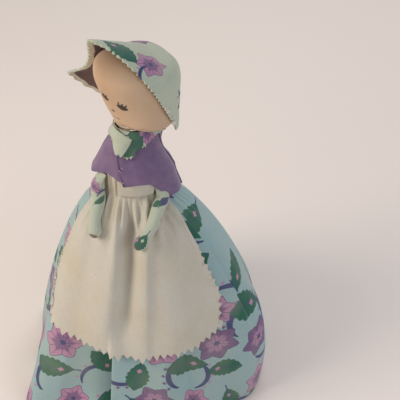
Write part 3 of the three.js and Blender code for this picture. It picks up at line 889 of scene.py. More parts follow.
def skirt_folds(angle, s, tucked=1.0):
    """The swing of the skirt with long creases, tucks that open towards the hem and gathers at the waist."""
    creases = 0
    for top, foot, height, before, after in CREASES:
        away = turn_from(angle, lerp(top, foot, s))
        width = np.where(away < 0, before, after)
        creases = creases + height * smooth(s, 0.02, 0.35) * np.exp(1 - np.sqrt(1 + (away / width) ** 2))
    for start, deep, end, depth, steep, (opens, wide, closes, shut) in TUCKS:
        inwards = np.clip(turn_from(angle, start) / (deep - start), 0, 1) ** steep
        tuck = inwards * (1 - smooth(turn_from(angle, deep), 0, end - deep))
        creases = creases - tucked * depth * smooth(s, opens, wide) * (1 - smooth(s, closes, shut)) * tuck
    away = turn_from(angle, VALLEY["at"] + VALLEY["drift"] * s)
    valley = bump(away, 0, np.where(away < 0, VALLEY["right"], VALLEY["left"]))
    creases = creases - VALLEY["depth"] * valley * smooth(s, 0.08, 0.25) * (1 - smooth(s, 0.6, 0.72))
    gathers = waist_gathers(angle) * (1 - smooth(s, 0.05, 0.4))
    return skirt_swing(angle, s) + creases + gathers


def skirt_point(angle, s, lift, folds=1.0, tucked=1.0):
    """A point of the skirt, lifted outwards from its outer face."""
    radius, height, out, down = skirt_profile(s)
    radius = radius + folds * skirt_folds(angle, s, tucked) - down * lift
    height = height + out * lift * (1 - s)
    return around(angle, radius, height, BODY_X * (1 - s), BODY_Y * (1 - s))


def cone_pattern(angle, down):
    """Flat pattern of a cone: a fan whose radius is the way from the tip, turned by the cone's spread."""
    way = size("hem_radius") / CONE_SPREAD - down
    return np.stack([way * np.sin(angle * CONE_SPREAD), -way * np.cos(angle * CONE_SPREAD)], -1)


def cloth_angle(angle):
    """Angle on the flat cloth: the angle round the doll, lengthened where the tucks take up cloth.
    The extra is the sum of the steps along the folded row less the steps of a smooth one, from the front."""
    radius = skirt_profile(TUCKED_ROW)[0] + skirt_folds(angle, TUCKED_ROW)
    slope = np.gradient(radius, angle) / radius
    extra = np.cumsum(np.sqrt(1 + slope ** 2) - 1) * (angle[1] - angle[0])
    return angle + extra - np.interp(0, angle, extra)


def skirt_surface():
    """Grid of the whole skirt, from the gathered collar at the waist to the hem, and its flat pattern."""
    angle = np.linspace(-np.pi, np.pi, SKIRT_COLUMNS + 1)[None, :]
    s = np.linspace(0, HEM_END, SKIRT_ROWS + 1)[:, None]
    cone = skirt_point(angle, s, 0.0)
    rise = np.linspace(1, 0, COLLAR_ROWS, endpoint=False)[:, None]
    collar = around(angle, size("waist_radius") + waist_gathers(angle) * (1 - 0.5 * rise),
                    lerp(size("waist_height"), SKIRT_TOP, rise))
    radius, height, _, _ = skirt_profile(np.linspace(0, 1, SKIRT_ROWS + 1))
    run = run_along(np.stack([radius, height], -1))
    left = run[-1] - run
    left = np.concatenate([left[0] + rise[:, 0] * COLLAR_RUN, left])
    pattern = cone_pattern(*np.broadcast_arrays(cloth_angle(angle[0]), left[:, None]))
    return np.concatenate([collar, cone]), pattern


def loose(points, closed, amount, seed, wave):
    """Moves a grid of points along its normals by soft random wrinkles."""
    along = np.gradient(points, axis=1)
    if closed:
        along = (np.roll(points, -1, 1) - np.roll(points, 1, 1)) / 2
    normal = np.cross(along, np.gradient(points, axis=0))
    normal /= np.maximum(np.linalg.norm(normal, axis=-1, keepdims=True), 1e-9)
    shift = wrinkles(points[..., 0] + 0.6 * points[..., 1], points[..., 2], seed, wave)
    return points + normal * (shift * amount)[..., None]


class DOLL_OT_skirt(bpy.types.Operator):
    """Full skirt of printed cotton, gathered on its thread and hanging in folds to the floor"""
    bl_idname = "doll.skirt"
    bl_label = "Skirt"

    def execute(self, context):
        points, pattern = skirt_surface()
        skirt = grid_object("skirt_cloth", points[:, :-1], pattern, closed=True, flip=True)
        printed = print_material("skirt_print", offset=(-14.0, 15.0))
        hang(skirt, printed, COTTON, "torso", "print_cotton", "skirt")
        winding("skirt_gathering_thread", size("waist_radius") + FIT, SKIRT_TOP - THREAD_DROP,
                "torso", "skirt_thread")
        return {"FINISHED"}


def tube(path, radius, sides, press=1.0):
    """Rings square to a path, of a radius at each point and pressed to a share, and their flat pattern."""
    way = np.gradient(path, axis=0)
    way /= np.linalg.norm(way, axis=1, keepdims=True)
    side = np.cross(way, (0.0, 0.0, 1.0))
    side /= np.maximum(np.linalg.norm(side, axis=1, keepdims=True), 1e-9)
    up = np.cross(side, way)
    angle = np.linspace(0, TURN, sides + 1)
    press = np.broadcast_to(press, len(path))[:, None, None]
    rings = np.cos(angle)[None, :, None] * side[:, None]
    rings = rings + np.sin(angle)[None, :, None] * up[:, None] * press
    radius = np.broadcast_to(radius, len(path))
    run = run_along(path)
    pattern = np.stack(np.broadcast_arrays(angle[None, :] * radius.mean(), run[:, None]), -1)
    return path[:, None] + rings * radius[:, None, None], pattern


def winding(name, inside, foot, body, stands_for):
    """One thread wound in a helix round the doll's axis, with closed ends: it rises with its angle."""
    t = np.linspace(0, 1, 64 * THREAD_TURNS + 1)
    height = foot + THREAD / 2 + THREAD_PITCH * THREAD_TURNS * t
    path = around(TURN * THREAD_TURNS * t, inside + THREAD / 2, height)
    thread = closed_tube(name, *tube(path, THREAD / 2, 10), bpy.data.materials["thread"])
    dress(thread, body, "thread", stands_for)


# Apron
# Angles of its sides, how far their lower corners are rounded, and how much wider its left side starts
APRON_RIGHT = -70.0
APRON_LEFT = 56.0
RIGHT_ROUND = 12.0
LEFT_ROUND = 5.0
LEFT_SPREAD = 6.0
# Way down the skirt where it ends, the rise of its hem to the corners and half the width of its cut
APRON_HEM = 0.706
CORNER_RISE = 0.05
APRON_CUT = 62
# Pinked teeth along the hem and the sides, and their depth as a way down the skirt and in degrees
APRON_TEETH = 27
SIDE_TEETH = 22
TOOTH = 0.016
SIDE_TOOTH = 2.4
# Bend from the gathered column to the skirt: its top, its foot over the waist and its end down the skirt
BEND_TOP = 103.0
BEND_RISE = 1.5
BEND_END = 0.2
COLUMN_ROWS = 10
BEND_ROWS = 34
APRON_ROWS = 110
PLEATS = 26
PLEAT_DEPTH = 0.4
# Share of the skirt's tucks that the apron follows where it bridges them
BRIDGED = 0.3
# Long folds: offset at the waist and at the hem, width at both, height, and the way down where each ends
APRON_FOLDS = (
    (-14.0, -30, 0.8, 5, 1.5, 0.75),
    (-11.8, -19, 0.8, 4.0, 2.0, 0.6),
    (-9.3, -9.8, 0.85, 3.6, 2.6, 1.5),
    (-6.6, -9.0, 0.85, 2.2, 2.4, 0.45),
    (-3.7, -2.6, 0.9, 2.4, 2.2, 0.4),
    (-0.6, 2.0, 0.9, 3.4, 2.6, 1.5),
    (2.8, 8.0, 0.9, 4.5, 1.8, 0.6),
    (6.0, 17, 1.0, 6, 1.4, 0.8),
)
# Waistband: angle of its middle, half its width in degrees, and the width and height of its cloth
BAND_MIDDLE = 11
BAND_HALF = 29
BAND_CUT = (12, 7.5)


def apron_lift(across, down):
    """Height of the apron over the skirt: knife pleats under the band that run out into long folds.
    Each fold is a ridge with its own offset from the middle, soft on one side, steep on the other."""
    lift = 0.2 * np.cos(across * TURN / 1.9) * (1 - smooth(down, 0.1, 0.35))
    for top, foot, narrow, broad, height, end in APRON_FOLDS:
        away = across - lerp(top, foot, down ** 0.8)
        width = lerp(narrow, broad, smooth(down, 0, 0.9)) * np.where(away < 0, 1.25, 0.75)
        fade = smooth(down, 0, 0.1) * (1 - smooth(down, 0.5 * end, end))
        fade = fade * lerp(1.0, 0.6, smooth(down, 0.3, 1))
        lift = lift + height * fade * bump(away, 0, width)
    return LAYER_GAP + 0.2 + lift


def tooth_depth(t, teeth):
    """Zigzag of hand-pinked teeth of uneven depth."""
    number = np.floor(t * teeth)
    return pinked(t, teeth) * (1 + 0.3 * np.sin(2.4 * number) + 0.2 * np.sin(5.1 * number + 1))


def apron_surface():
    """Grid of the apron: a gathered column under the band that bends out into a fan on the skirt.
    Between column and fan a point is mixed from both, with a smooth share of each. Its hem ends in teeth."""
    u, _ = spans(APRON_TEETH * 12, 0)
    side = 2 * u - 1
    bend = np.linspace(0, 1, BEND_ROWS + 1)
    foot = size("waist_height") + BEND_RISE
    rise = np.concatenate([np.linspace(APRON_TOP, BEND_TOP, COLUMN_ROWS, endpoint=False),
                           lerp(BEND_TOP, foot, bend), np.full(APRON_ROWS, foot)])[:, None]
    share = np.concatenate([np.zeros(COLUMN_ROWS), smooth(bend, 0, 1), np.ones(APRON_ROWS)])[:, None]
    corner = CORNER_RISE * np.where(side > 0, side ** 4, side ** 10)
    s_end = APRON_HEM - corner + 0.012 * bump(side, 0.05, 0.12)
    fan = np.linspace(BEND_END, 1, APRON_ROWS + 1)[1:]
    t = np.concatenate([np.zeros(COLUMN_ROWS), bend * BEND_END, fan])[:, None]
    fanned = lerp(BEND_END / APRON_HEM, 1, (t - BEND_END) / (1 - BEND_END))
    down = np.where(t <= BEND_END, t / APRON_HEM, fanned)
    s = down * s_end + TOOTH * tooth_depth(u, APRON_TEETH) * smooth(down, 0.955, 1)
    right = APRON_RIGHT + RIGHT_ROUND * smooth(down, 0.72, 1.0) ** 2
    widened = APRON_LEFT + LEFT_SPREAD * (1 - smooth(down, 0.1, 0.45))
    left = widened - LEFT_ROUND * smooth(down, 0.75, 1.0) ** 2
    cut = smooth(np.abs(side), 0.95, 1) * smooth(down, 0.55, 0.6)
    notch = SIDE_TOOTH * tooth_depth(down, SIDE_TEETH) * cut
    angle = np.radians(np.where(side < 0, right + notch, left - notch) * np.abs(side))
    waist = size("waist_radius")
    across = BODY_X * (1 - s) + lerp(waist + 1, skirt_profile(s)[0], share) * np.sin(angle)
    folds = apron_lift(across, down)
    roll = 0.7 * bump(side, 0.965, 0.025) * smooth(down, 0.25, 0.35) * (1 - smooth(down, 0.6, 0.7))
    panel = skirt_point(angle, s, folds + roll + MUSLIN, tucked=BRIDGED)
    pleats = PLEAT_DEPTH * (1 + np.cos(angle * PLEATS + 0.6 * np.sin(3 * angle)))
    column = around(angle, waist + FIT + pleats + MUSLIN + 0.5 * folds * share, rise)
    points = lerp(column, panel, share[..., None])
    run = run_along(points[:, points.shape[1] // 2])[:, None]
    return points, np.stack(np.broadcast_arrays(side * APRON_CUT, -run), -1)


class DOLL_OT_apron(bpy.types.Operator):
    """Cream muslin apron with a plain waistband, pleats and a pinked hem"""
    bl_idname = "doll.apron"
    bl_label = "Apron"

    def execute(self, context):
        muslin = muslin_material("apron_muslin", "cream", "BDB08E", 0.8)
        points, pattern = apron_surface()
        panel = grid_object("apron_cloth", loose(points, False, WRINKLE, 5, 11), pattern, flip=True)
        hang(panel, muslin, MUSLIN, "torso", "cream_muslin", "apron_panel")
        hang(self.band(), muslin, MUSLIN, "torso", "cream_muslin", "apron_band",
             area=0.000078)
        return {"FINISHED"}

    def band(self):
        """Folded band: an upright strip on the pleats, rounded at its upper and lower fold."""
        u, v = spans(60, 16)
        angle = np.radians(BAND_MIDDLE + (2 * u - 1) * BAND_HALF)
        swell = 0.35 * np.sqrt(np.clip(1 - (2 * v - 1) ** 6, 0, 1)) + 0.08 * wrinkles(u * 12, v * 5, 9, 5)
        radius = size("waist_radius") + FIT + 2 * MUSLIN + 1.0 + swell
        points = around(angle, radius, lerp(APRON_TOP, BAND_FOOT - 2.0, v))
        pattern = np.stack([(u - 0.5) * BAND_CUT[0], -v * BAND_CUT[1]], -1)
        return grid_object("apron_waistband", points, pattern, flip=True)


# Cape
FELT_LAYER = FELT + FIT
CAPE_NECK_RADIUS = 6.5
CAPE_NECK_HEIGHT = 125.0
CAPE_HEM_HEIGHT = 109.0
CAPE_HEM_RADIUS = 14.9
CAPE_RIGHT_CORNER = -64
CAPE_LEFT_CORNER = 72
CAPE_SPREAD = 24
# Radius at which its pattern is laid flat, and the length of that pattern
CAPE_CUT = (14, 19)
# Height of the cut hem at angles round the cape
CAPE_HEM = (
    (-180, 109), (-100, 108.6), (-68, 108.2), (-54, 109.6), (-41, 110.6), (-25, 110.1),
    (-10, 109.2), (16, 108.7), (32, 107.6), (44, 104.4), (53, 101.4), (62, 100.4),
    (80, 100.6), (91, 99.6), (104, 106.4), (120, 108.6), (140, 109), (180, 109),
)
# How far the doll's left shoulder of the cape stands out from the cone, at distances below the neck
SHOULDER = ((0, 3.6), (2, 4.6), (6.5, 1.2), (10, -0.6), (13, -0.4), (16, -1.4), (25, 0.0))
SHOULDER_AT = 118
SHOULDER_SPREAD = 26
# Stitches at the lap: radius of the thread, and angle and way down the cape of each
STITCH_RADIUS = 0.13
STITCHES = ((-10, 0.62), (-12, 0.70), (-8, 0.90))


def shoulder(degree, fall):
    """Shape of the cape at the doll's left shoulder: broad at the neck, upright, then out to the corner."""
    down, out = np.array(SHOULDER, float).T
    return bump(degree, SHOULDER_AT, SHOULDER_SPREAD) * eased(down, out, np.clip(fall, down[0], down[-1]))


def cape_point(angle, v, lift):
    """Felt cone from the neck to the hem, whose corners flare and hang lower over the tops of the arms."""
    degree = np.degrees(angle)
    right = bump(degree, CAPE_RIGHT_CORNER, CAPE_SPREAD)
    left = bump(degree, CAPE_LEFT_CORNER, CAPE_SPREAD)
    hem = np.interp(turn_from(angle, 0), *np.transpose(CAPE_HEM))
    height = lerp(CAPE_NECK_HEIGHT, hem, v)
    slope = np.minimum((CAPE_NECK_HEIGHT - height) / (CAPE_NECK_HEIGHT - CAPE_HEM_HEIGHT), 1)
    radius = lerp(CAPE_NECK_RADIUS, CAPE_HEM_RADIUS, slope) + (0.6 * right + 4.0 * left) * v ** 2 + lift
    radius = radius + 0.5 * v ** 2 * np.sin(5 * angle + 1.0)
    radius = radius + v ** 3 * (1.2 * bump(degree, 92, 9) + 0.4 * bump(degree, -62, 8))
    radius = radius + shoulder(degree, CAPE_NECK_HEIGHT - height)
    return around(angle, radius, height)


def lapped(u, v):
    """Lift of the left front where it laps over the right one."""
    return FELT_LAYER * (1 - smooth(u, 0.0, 0.2)) + 0.4 * (1 - smooth(u, 0, 0.07))


def plain(u, v):
    """No lift: the right front lies on the body."""
    return 0 * u


def eased_out(u, v):
    """Lift of the back piece where its edge stands off at the doll's left side."""
    return 0.5 * (1 - smooth(u, 0, 0.1)) * v


# Pieces of the cape: name, node, edges as angles at neck and hem, lift, seed of its wrinkles, flat size
CAPE_PIECES = (
    ("cape_left_front", "cape_front_left", ((-36, -6), (92, 86)), lapped, 15, (0.027, 0.024)),
    ("cape_right_front", "cape_front_right", ((-84, -84), (-24, 0)), plain, 16, (0.019, 0.019)),
    ("cape_back_felt", "cape_back", ((95, 88), (274, 274)), eased_out, 14, (0.05, 0.022)),
)


def cape_piece(name, edges, lift, seed):
    """Felt piece between two edges, each an angle at the neck and at the hem; lift gives its layer."""
    u, v = spans(90, 60)
    (near_top, near_foot), (far_top, far_foot) = edges
    degree = lerp(lerp(near_top, near_foot, v), lerp(far_top, far_foot, v), u)
    points = loose(cape_point(np.radians(degree), v, lift(u, v)), False, WRINKLE, seed, 9)
    pattern = np.stack([np.radians(degree) * CAPE_CUT[0], -v * CAPE_CUT[1]], -1)
    made = grid_object(name, points, pattern, flip=True)
    if lift is lapped:
        # Where the painted shadow line along the lapped edge falls.
        mark(made, "lap_edge", 1 - smooth(u + 0.01 * wrinkles(v * 20, u, 3, 4), 0.012, 0.04))
    return made


class DOLL_OT_cape(bpy.types.Operator):
    """Purple felt cape: two fronts that lap, a back piece and the stitches at the lap"""
    bl_idname = "doll.cape"
    bl_label = "Cape"

    def execute(self, context):
        felt = felt_material()
        for name, stands_for, edges, lift, seed, flat in CAPE_PIECES:
            hang(cape_piece(name, edges, lift, seed), felt, FELT, "torso", "purple_felt", stands_for)
        self.stitches()
        return {"FINISHED"}

    def stitches(self):
        """Three small hand stitches that hold the lap."""
        t = np.linspace(-1, 1, 17)
        for number, (degree, v) in enumerate(STITCHES):
            angle = np.radians(degree + 2.5 * t)
            path = cape_point(angle, v + 0.012 * t, FELT_LAYER + 0.6 + 0.2 * (1 - t ** 4))
            stitch = closed_tube(f"cape_stitch_{number + 1}", *tube(path, STITCH_RADIUS, 8),
                                 bpy.data.materials["stitch_thread"])
            dress(stitch, "torso", "thread")


# Kerchief
KERCHIEF_TOP = 126.3
KERCHIEF_NECK = 6.5
# How far the kerchief hangs down the cape at angles round the neck
KERCHIEF_DROPS = (
    (-180, 3.2), (-100, 2.4), (-60, 1.8), (-43, 2.4), (-26, 4.8), (-14, 5.4), (-4, 6.4),
    (9, 6.0), (15, 4.0), (30, 3.4), (50, 2.6), (72, 2.0), (110, 2.4), (180, 3.2),
)
KERCHIEF_TEETH = 54
KERCHIEF_TOOTH = 0.6
# Radius at which its pattern is laid flat, its stretch down the cloth, and the width of the folded end
KERCHIEF_CUT = 11
KERCHIEF_STRETCH = 1.2
FLAP_CUT = 9
# Folded end at three ways down: angles of its near and far edge, and their heights
FLAP_MARKS = (0, 0.45, 1)
FLAP_NEAR = (-56, -40, -24)
FLAP_FAR = (-50, 6, -12)
FLAP_NEAR_HEIGHT = (128.0, 123.4, 119.8)
FLAP_FAR_HEIGHT = (128.1, 124.8, 119.4)
# Printed sprigs: motif, place across and down the pattern, turn, size, and its fill and accent
KERCHIEF_SPRIGS = (
    ("leaf", 3.6, 2.0, 0.25, 0.7, ("leaf", "leaf")),
    ("bloom", 9.5, 0.5, 0.4, 0.85, ("petal", "plum")),
    ("leaf", 1.0, -3.6, 0.5, 0.9, ("leaf", "leaf")),
    ("leaf", 22.0, -1.0, 2.4, 0.8, ("leaf", "petal")),
    ("bloom", -26.0, -2.0, 1.0, 0.9, ("plum", "petal")),
)
FLAP_SPRIGS = (("stem", 1.5, -7.0, 0.9, 0.4, ("leaf", "leaf")),)


def kerchief_at(degree, height, lift):
    """A point on the kerchief's layer: it hugs the neck at its top and lies on the cone of the cape below.
    Its radius grows with the way down from the neck and swells over the lap of the cape."""
    fall = np.maximum(CAPE_NECK_HEIGHT - height, 0)
    cone = (CAPE_HEM_RADIUS - CAPE_NECK_RADIUS) / (CAPE_NECK_HEIGHT - CAPE_HEM_HEIGHT)
    hug = smooth(height, CAPE_NECK_HEIGHT - 1.5, KERCHIEF_TOP)
    lap = FELT_LAYER * bump(degree, -18, 22) + FIT
    radius = KERCHIEF_NECK + fall * cone + (lap + shoulder(degree, fall)) * (1 - hug) + lift
    return around(np.radians(degree), radius, height)


class DOLL_OT_kerchief(bpy.types.Operator):
    """Kerchief of print cloth round the neck, with a fall in front and a folded end"""
    bl_idname = "doll.kerchief"
    bl_label = "Kerchief"

    def execute(self, context):
        printed = print_material("kerchief_print", sprigs=KERCHIEF_SPRIGS)
        hang(self.collar(), printed, COTTON, "torso", "print_cotton", "neckerchief")
        hang(self.end(), print_material("flap_print", sprigs=FLAP_SPRIGS), COTTON, "torso", "print_cotton",
             "kerchief_end")
        return {"FINISHED"}

    def collar(self):
        """Collar: at each angle a strip from the rim to the pinked edge, which hangs lowest in front."""
        u, v = spans(360, 36)
        degree = 360 * u - 180
        teeth = KERCHIEF_TOOTH * tooth_depth(u, KERCHIEF_TEETH) * smooth(v, 0.85, 1)
        drop = np.interp(degree, *np.transpose(KERCHIEF_DROPS)) + teeth
        rim = KERCHIEF_TOP + 0.6 * bump(degree, -20, 60)
        points = kerchief_at(degree, lerp(rim, CAPE_NECK_HEIGHT - drop, v), COTTON)
        points = loose(points, True, WRINKLE, 31, 6)
        pattern = self.pattern(np.radians(degree) * KERCHIEF_CUT, points[..., 2])
        return grid_object("neck_kerchief", points[:, :-1], pattern, closed=True, flip=True)

    def end(self):
        """Folded end: a three-cornered flap from beside the chin, whose tail runs down along the fall."""
        u, v = spans(48, 48)
        near, far, near_height, far_height = (
            np.interp(v, FLAP_MARKS, values)
            for values in (FLAP_NEAR, FLAP_FAR, FLAP_NEAR_HEIGHT, FLAP_FAR_HEIGHT))
        height = lerp(near_height, far_height, u)
        puff = 0.5 * np.sin(np.pi * u) * np.sin(np.pi * v)
        points = kerchief_at(lerp(near, far, u), height, COTTON + FIT + COTTON + puff)
        return grid_object("kerchief_flap", points, self.pattern((u - 0.5) * FLAP_CUT, height), flip=True)

    def pattern(self, across, height):
        """Flat pattern: the way across, and the height over the cape's neck with some stretch."""
        return np.stack([across, (height - CAPE_NECK_HEIGHT) * KERCHIEF_STRETCH], -1)


# Head
# Rings of the bag from its top down: height, radius, and middle ahead and to the left
HEAD_RINGS = (
    (13.4, 0.0, 2.8, -1.4), (12.2, 6.2, 2.4, -1.2), (9.4, 10.8, 1.4, -0.9), (4.6, 13.0, -0.4, -0.4),
    (0.0, 13.5, -2.2, 0.0), (-4.0, 13.2, -3.2, 0.4), (-7.4, 12.8, -3.8, 1.2),
    (-10.0, 12.4, -4.2, 2.2), (-12.2, 11.9, -4.2, 3.2), (-13.5, 9.2, -3.0, 2.4),
)
# Share by which the back is drawn in
BACK_DRAW = 0.16
# Flat size of the bag's cloth
HEAD_CUT = (80, 60)
# Gathered neck: radius at its top and where it is tied, and how far below the head's middle it starts
NECK_TOP = 6.6
NECK_TIED = 5.1
NECK_DROP = 13.3
# Neck roll: its radius and the step where its cloth ends
ROLL_RADIUS = 3.55
ROLL_STEP = 0.12
# Eyes: place across and up, tilt and size
EYES = ((5.1, -2.8, 0.35, 0.82), (-1.6, -0.9, 0.15, 0.82))
# Lashes of an eye: foot along the lid and lean
LASHES = ((-1.3, -0.25), (-0.2, 0.0), (0.9, 0.2))


def directions(turn):
    """Forward and left directions of a piece that is turned from the front."""
    return np.array([np.sin(turn), -np.cos(turn), 0.0]), np.array([np.cos(turn), np.sin(turn), 0.0])


def head_middle():
    """Middle of the head, in millimetres."""
    return np.array([BODY_X, BODY_Y, size("head_height")])


def head_surface(columns=96, rows=64):
    """Bag of the head: rings of a radius and a middle for each height, curved between the given ones."""
    forward, left = directions(size("head_turn"))
    heights, radii, front, side = np.array(HEAD_RINGS).T
    knots = np.linspace(0, 1, len(heights))
    t = np.linspace(0, 1, rows + 1)
    rise, radius, front, side = (eased(knots, values, t) for values in (heights, radii, front, side))
    angle = np.linspace(0, TURN, columns, endpoint=False)
    drawn_in = 1 - BACK_DRAW * smooth(-np.cos(angle), 0.15, 1.0)
    ahead = front[:, None] + radius[:, None] * np.cos(angle) * drawn_in
    aside = side[:, None] * drawn_in + radius[:, None] * np.sin(angle) * drawn_in
    points = head_middle() + ahead[..., None] * forward + aside[..., None] * left
    points[..., 2] += rise[:, None]
    return points


def face_material():
    """Toned muslin with inked eyes, nose and mouth, placed on the front of the head."""
    made, tree, shader = cloth_material("face_muslin", 0.92, 0.1)
    forward, left = directions(size("head_turn"))
    place = object_place(tree)
    middle = head_middle() * MM

    def along(way):
        dot = vector_math(tree, "DOT_PRODUCT", place, tuple(way))
        return (Field(tree, dot.outputs["Value"]) - float(middle @ way)) * (1 / MM)

    x, z, front = along(left), along(np.array([0.0, 0.0, 1.0])), along(forward)
    wobble = (noise(tree, place, 1600.0, 2.0) - 0.5) * 0.5
    ink = None
    for across, up, tilt, grow in EYES:
        dx, dz = (x - across) / grow, (z - up) / grow
        a = dx * np.cos(tilt) - dz * np.sin(tilt)
        b = dx * np.sin(tilt) + dz * np.cos(tilt) + wobble
        lens = abs(b).under((a * a * -0.15 + 1.0) * 1.5, 0.25) * abs(a).under(2.4, 0.3)
        for foot, lean in LASHES:
            lash = abs(a - foot - b * lean).under(0.32, 0.2) * abs(b - 1.5).under(0.95, 0.25)
            lens = lens.high(lash)
        ink = lens if ink is None else ink.high(lens)
    nose = ((x - 0.6) * (x - 0.6) * 0.5 + (z + 6.0) * (z + 6.0)).under(0.35, 0.3) * 0.75
    smile = abs(z + 9.3 - (x - 0.8) * (x - 0.8) * 0.05 + wobble).under(0.22, 0.25)
    mouth = smile * abs(x - 0.9).under(1.9, 0.4)
    drawn = ink.high(nose).high(mouth * 0.7) * front.over(0, 1)
    aged = use(tree, "cloth_age", Place=place, Color=tint("tan"), Stain=linear_tint("B08C68"), Amount=0.5)
    # Painted shade: the top of the head turns dark brown where the bonnet's brim overhangs it.
    brim_shade_painted = mix(tree, aged.outputs["Color"], linear_tint("6E5440"), z.over(10.2, 6.5) * 0.55)
    paint = mix(tree, brim_shade_painted, tint("ink"), drawn * 0.92)
    feed(tree, shader.inputs["Base Color"], paint)
    relief(tree, shader, noise(tree, place, 1900.0, 2.0), 0.35, 0.12)
    return made


class DOLL_OT_head(bpy.types.Operator):
    """Stuffed muslin head, its gathered neck with the wound thread, and the neck roll that it turns on"""
    bl_idname = "doll.head"
    bl_label = "Head"

    def execute(self, context):
        points = head_surface()
        points = np.concatenate([points, self.sleeve(points.shape[1])])
        rows, columns = points.shape[:2]
        flat = np.zeros((rows + 1, columns + 1, 2))
        flat[..., 0] = np.linspace(0, HEAD_CUT[0], columns + 1)[None, :]
        flat[..., 1] = -np.linspace(0, HEAD_CUT[1], rows + 1)[:, None]
        head = grid_object("head_bag", close_ends(points, first=False), flat, closed=True)
        weld(head)
        head.data.materials.append(face_material())
        fill(head, 0.7)
        dress(head, "head", "face_muslin", "face_cloth", "head_stuffing")
        winding("neck_tie_thread", NECK_TIED + FIT, SLEEVE_FOOT, "head", "neck_thread")
        roll = self.roll()
        dress(roll, "neck", "cream_muslin", "neck_roll")
        return {"FINISHED"}

    def sleeve(self, columns):
        """Gathered sleeve under the head: rings round the neck with fine puckers, down to its lower edge."""
        t = np.linspace(0, 1, 10)[:, None]
        angle = np.linspace(0, TURN, columns, endpoint=False)[None, :] + size("head_turn")
        pucker = 0.18 * np.cos(16 * angle) * (1 - 0.5 * t)
        radius = lerp(NECK_TOP, NECK_TIED, smooth(t, 0, 0.4)) + pucker
        return around(angle, radius, lerp(size("head_height") - NECK_DROP, SLEEVE_FOOT, t))

    def roll(self):
        """Rolled cloth neck: a cylinder with a rounded top and a spiral step where its cloth ends."""
        t = np.linspace(0, 1, 40)[:, None]
        angle = np.linspace(0, TURN, 48, endpoint=False)[None, :]
        low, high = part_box("neck_roll")[0][2] / MM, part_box("neck_roll")[1][2] / MM
        radius = ROLL_RADIUS * np.sqrt(np.clip(1 - np.clip((t - 0.84) / 0.165, 0, 1) ** 2, 0.02, 1))
        points = around(angle, radius - ROLL_STEP * angle / TURN, lerp(low, high, t))
        return plain_bag("neck_cloth_roll", points, bpy.data.materials["apron_muslin"])


# Bonnet
# Hood: half its width, its top and drop from the head's middle, its back and how square that is
HALF_WIDTH = 14.9
BONNET_TOP = 14.2
BONNET_DROP = 15.2
BONNET_BACK = 14.2
BONNET_PLAN = 2.8
BONNET_CREASE = 18
BACK_SQUARE = 1.8
BONNET_SEAT = 2.0
# Brim: its reach at the top and at the jaw, its rise, and how each side slants between them
BRIM_REACH = 15.0
BRIM_JAW = -9.0
BRIM_RISE = 5.6
NEAR_SLANT = 0.85
FAR_SLANT = 1.9
# Share of the hood that arches over the head, and the height from which it hangs
ARCH = 0.56
SPRING = 2.0
# Wing of the brim: place and spread across the hood, reach, flare and sag
WING_PLACE = 0.76
WING_SPREAD = 0.14
WING_REACH = 13.0
WING_FLARE = 11.2
WING_SAG = 2.4
BONNET_TEETH = 50
BONNET_TOOTH = 0.85
BONNET_CUT = 44
# Printed sprigs, listed as the kerchief's are
BONNET_SPRIGS = (
    ("bloom", 10.0, -1.0, 0.6, 0.9, ("petal", "plum")),
    ("leaf", 3.0, 8.0, -0.5, 1.0, ("leaf", "petal")),
    ("stem", 14.0, 5.0, 2.0, 0.7, ("petal", "plum")),
    ("leaf", -20.0, 2.0, 2.4, 1.0, ("leaf", "petal")),
    ("bloom", -9.0, -8.0, 1.0, 0.9, ("plum", "petal")),
    ("leaf", 33.0, -15.5, 1.4, 0.7, ("leaf", "petal")),
    ("stem", 30.0, -15.0, 0.3, 0.8, ("plum", "petal")),
)


def bonnet_surface():
    """Hood: arches across the head that close in at the back, cut to a slanting pinked edge with a wing."""
    u, v = spans(BONNET_TEETH * 6, 110)
    side = 2 * u - 1
    far = np.abs(side)
    over = np.minimum(far / ARCH, 1) * np.pi / 2
    below = np.maximum(far - ARCH, 0) / (1 - ARCH)
    slant = (BRIM_REACH - BRIM_JAW) * far ** np.where(side > 0, NEAR_SLANT, FAR_SLANT)
    front = BRIM_REACH - slant + WING_REACH * bump(side, -WING_PLACE, 1.5 * WING_SPREAD)
    front = front - BONNET_TOOTH * tooth_depth(u, BONNET_TEETH) * smooth(v, 0.93, 1)
    forward = lerp(-BONNET_BACK, front, v ** 1.5)
    depth = np.clip(-forward / BONNET_BACK, 0, 1)
    flare = WING_FLARE * bump(side, -WING_PLACE, WING_SPREAD) * smooth(v, 0.55, 1)
    top = BONNET_TOP + BRIM_RISE * forward / BRIM_REACH
    square = 2 / (2 + BACK_SQUARE * smooth(depth, 0, 0.8))
    arch = SPRING + (top - SPRING) * np.cos(over) ** square
    height = np.where(below > 0, lerp(SPRING, -BONNET_DROP, below), arch)
    across = np.sign(side) * HALF_WIDTH * np.sin(over) ** square * rounding(depth, BONNET_PLAN) - flare
    height = lerp(-BONNET_DROP, height, rounding(depth, BONNET_CREASE))
    height = height - WING_SAG * bump(side, -0.9, 0.09) * smooth(v, 0.5, 1)
    seat = head_middle() - BONNET_SEAT * directions(size("head_turn"))[0]
    ahead, left = directions(size("head_turn") + size("bonnet_turn"))
    points = seat + across[..., None] * left + forward[..., None] * ahead
    points[..., 2] += height
    return points, np.stack([side * BONNET_CUT, forward * 1.1], -1)


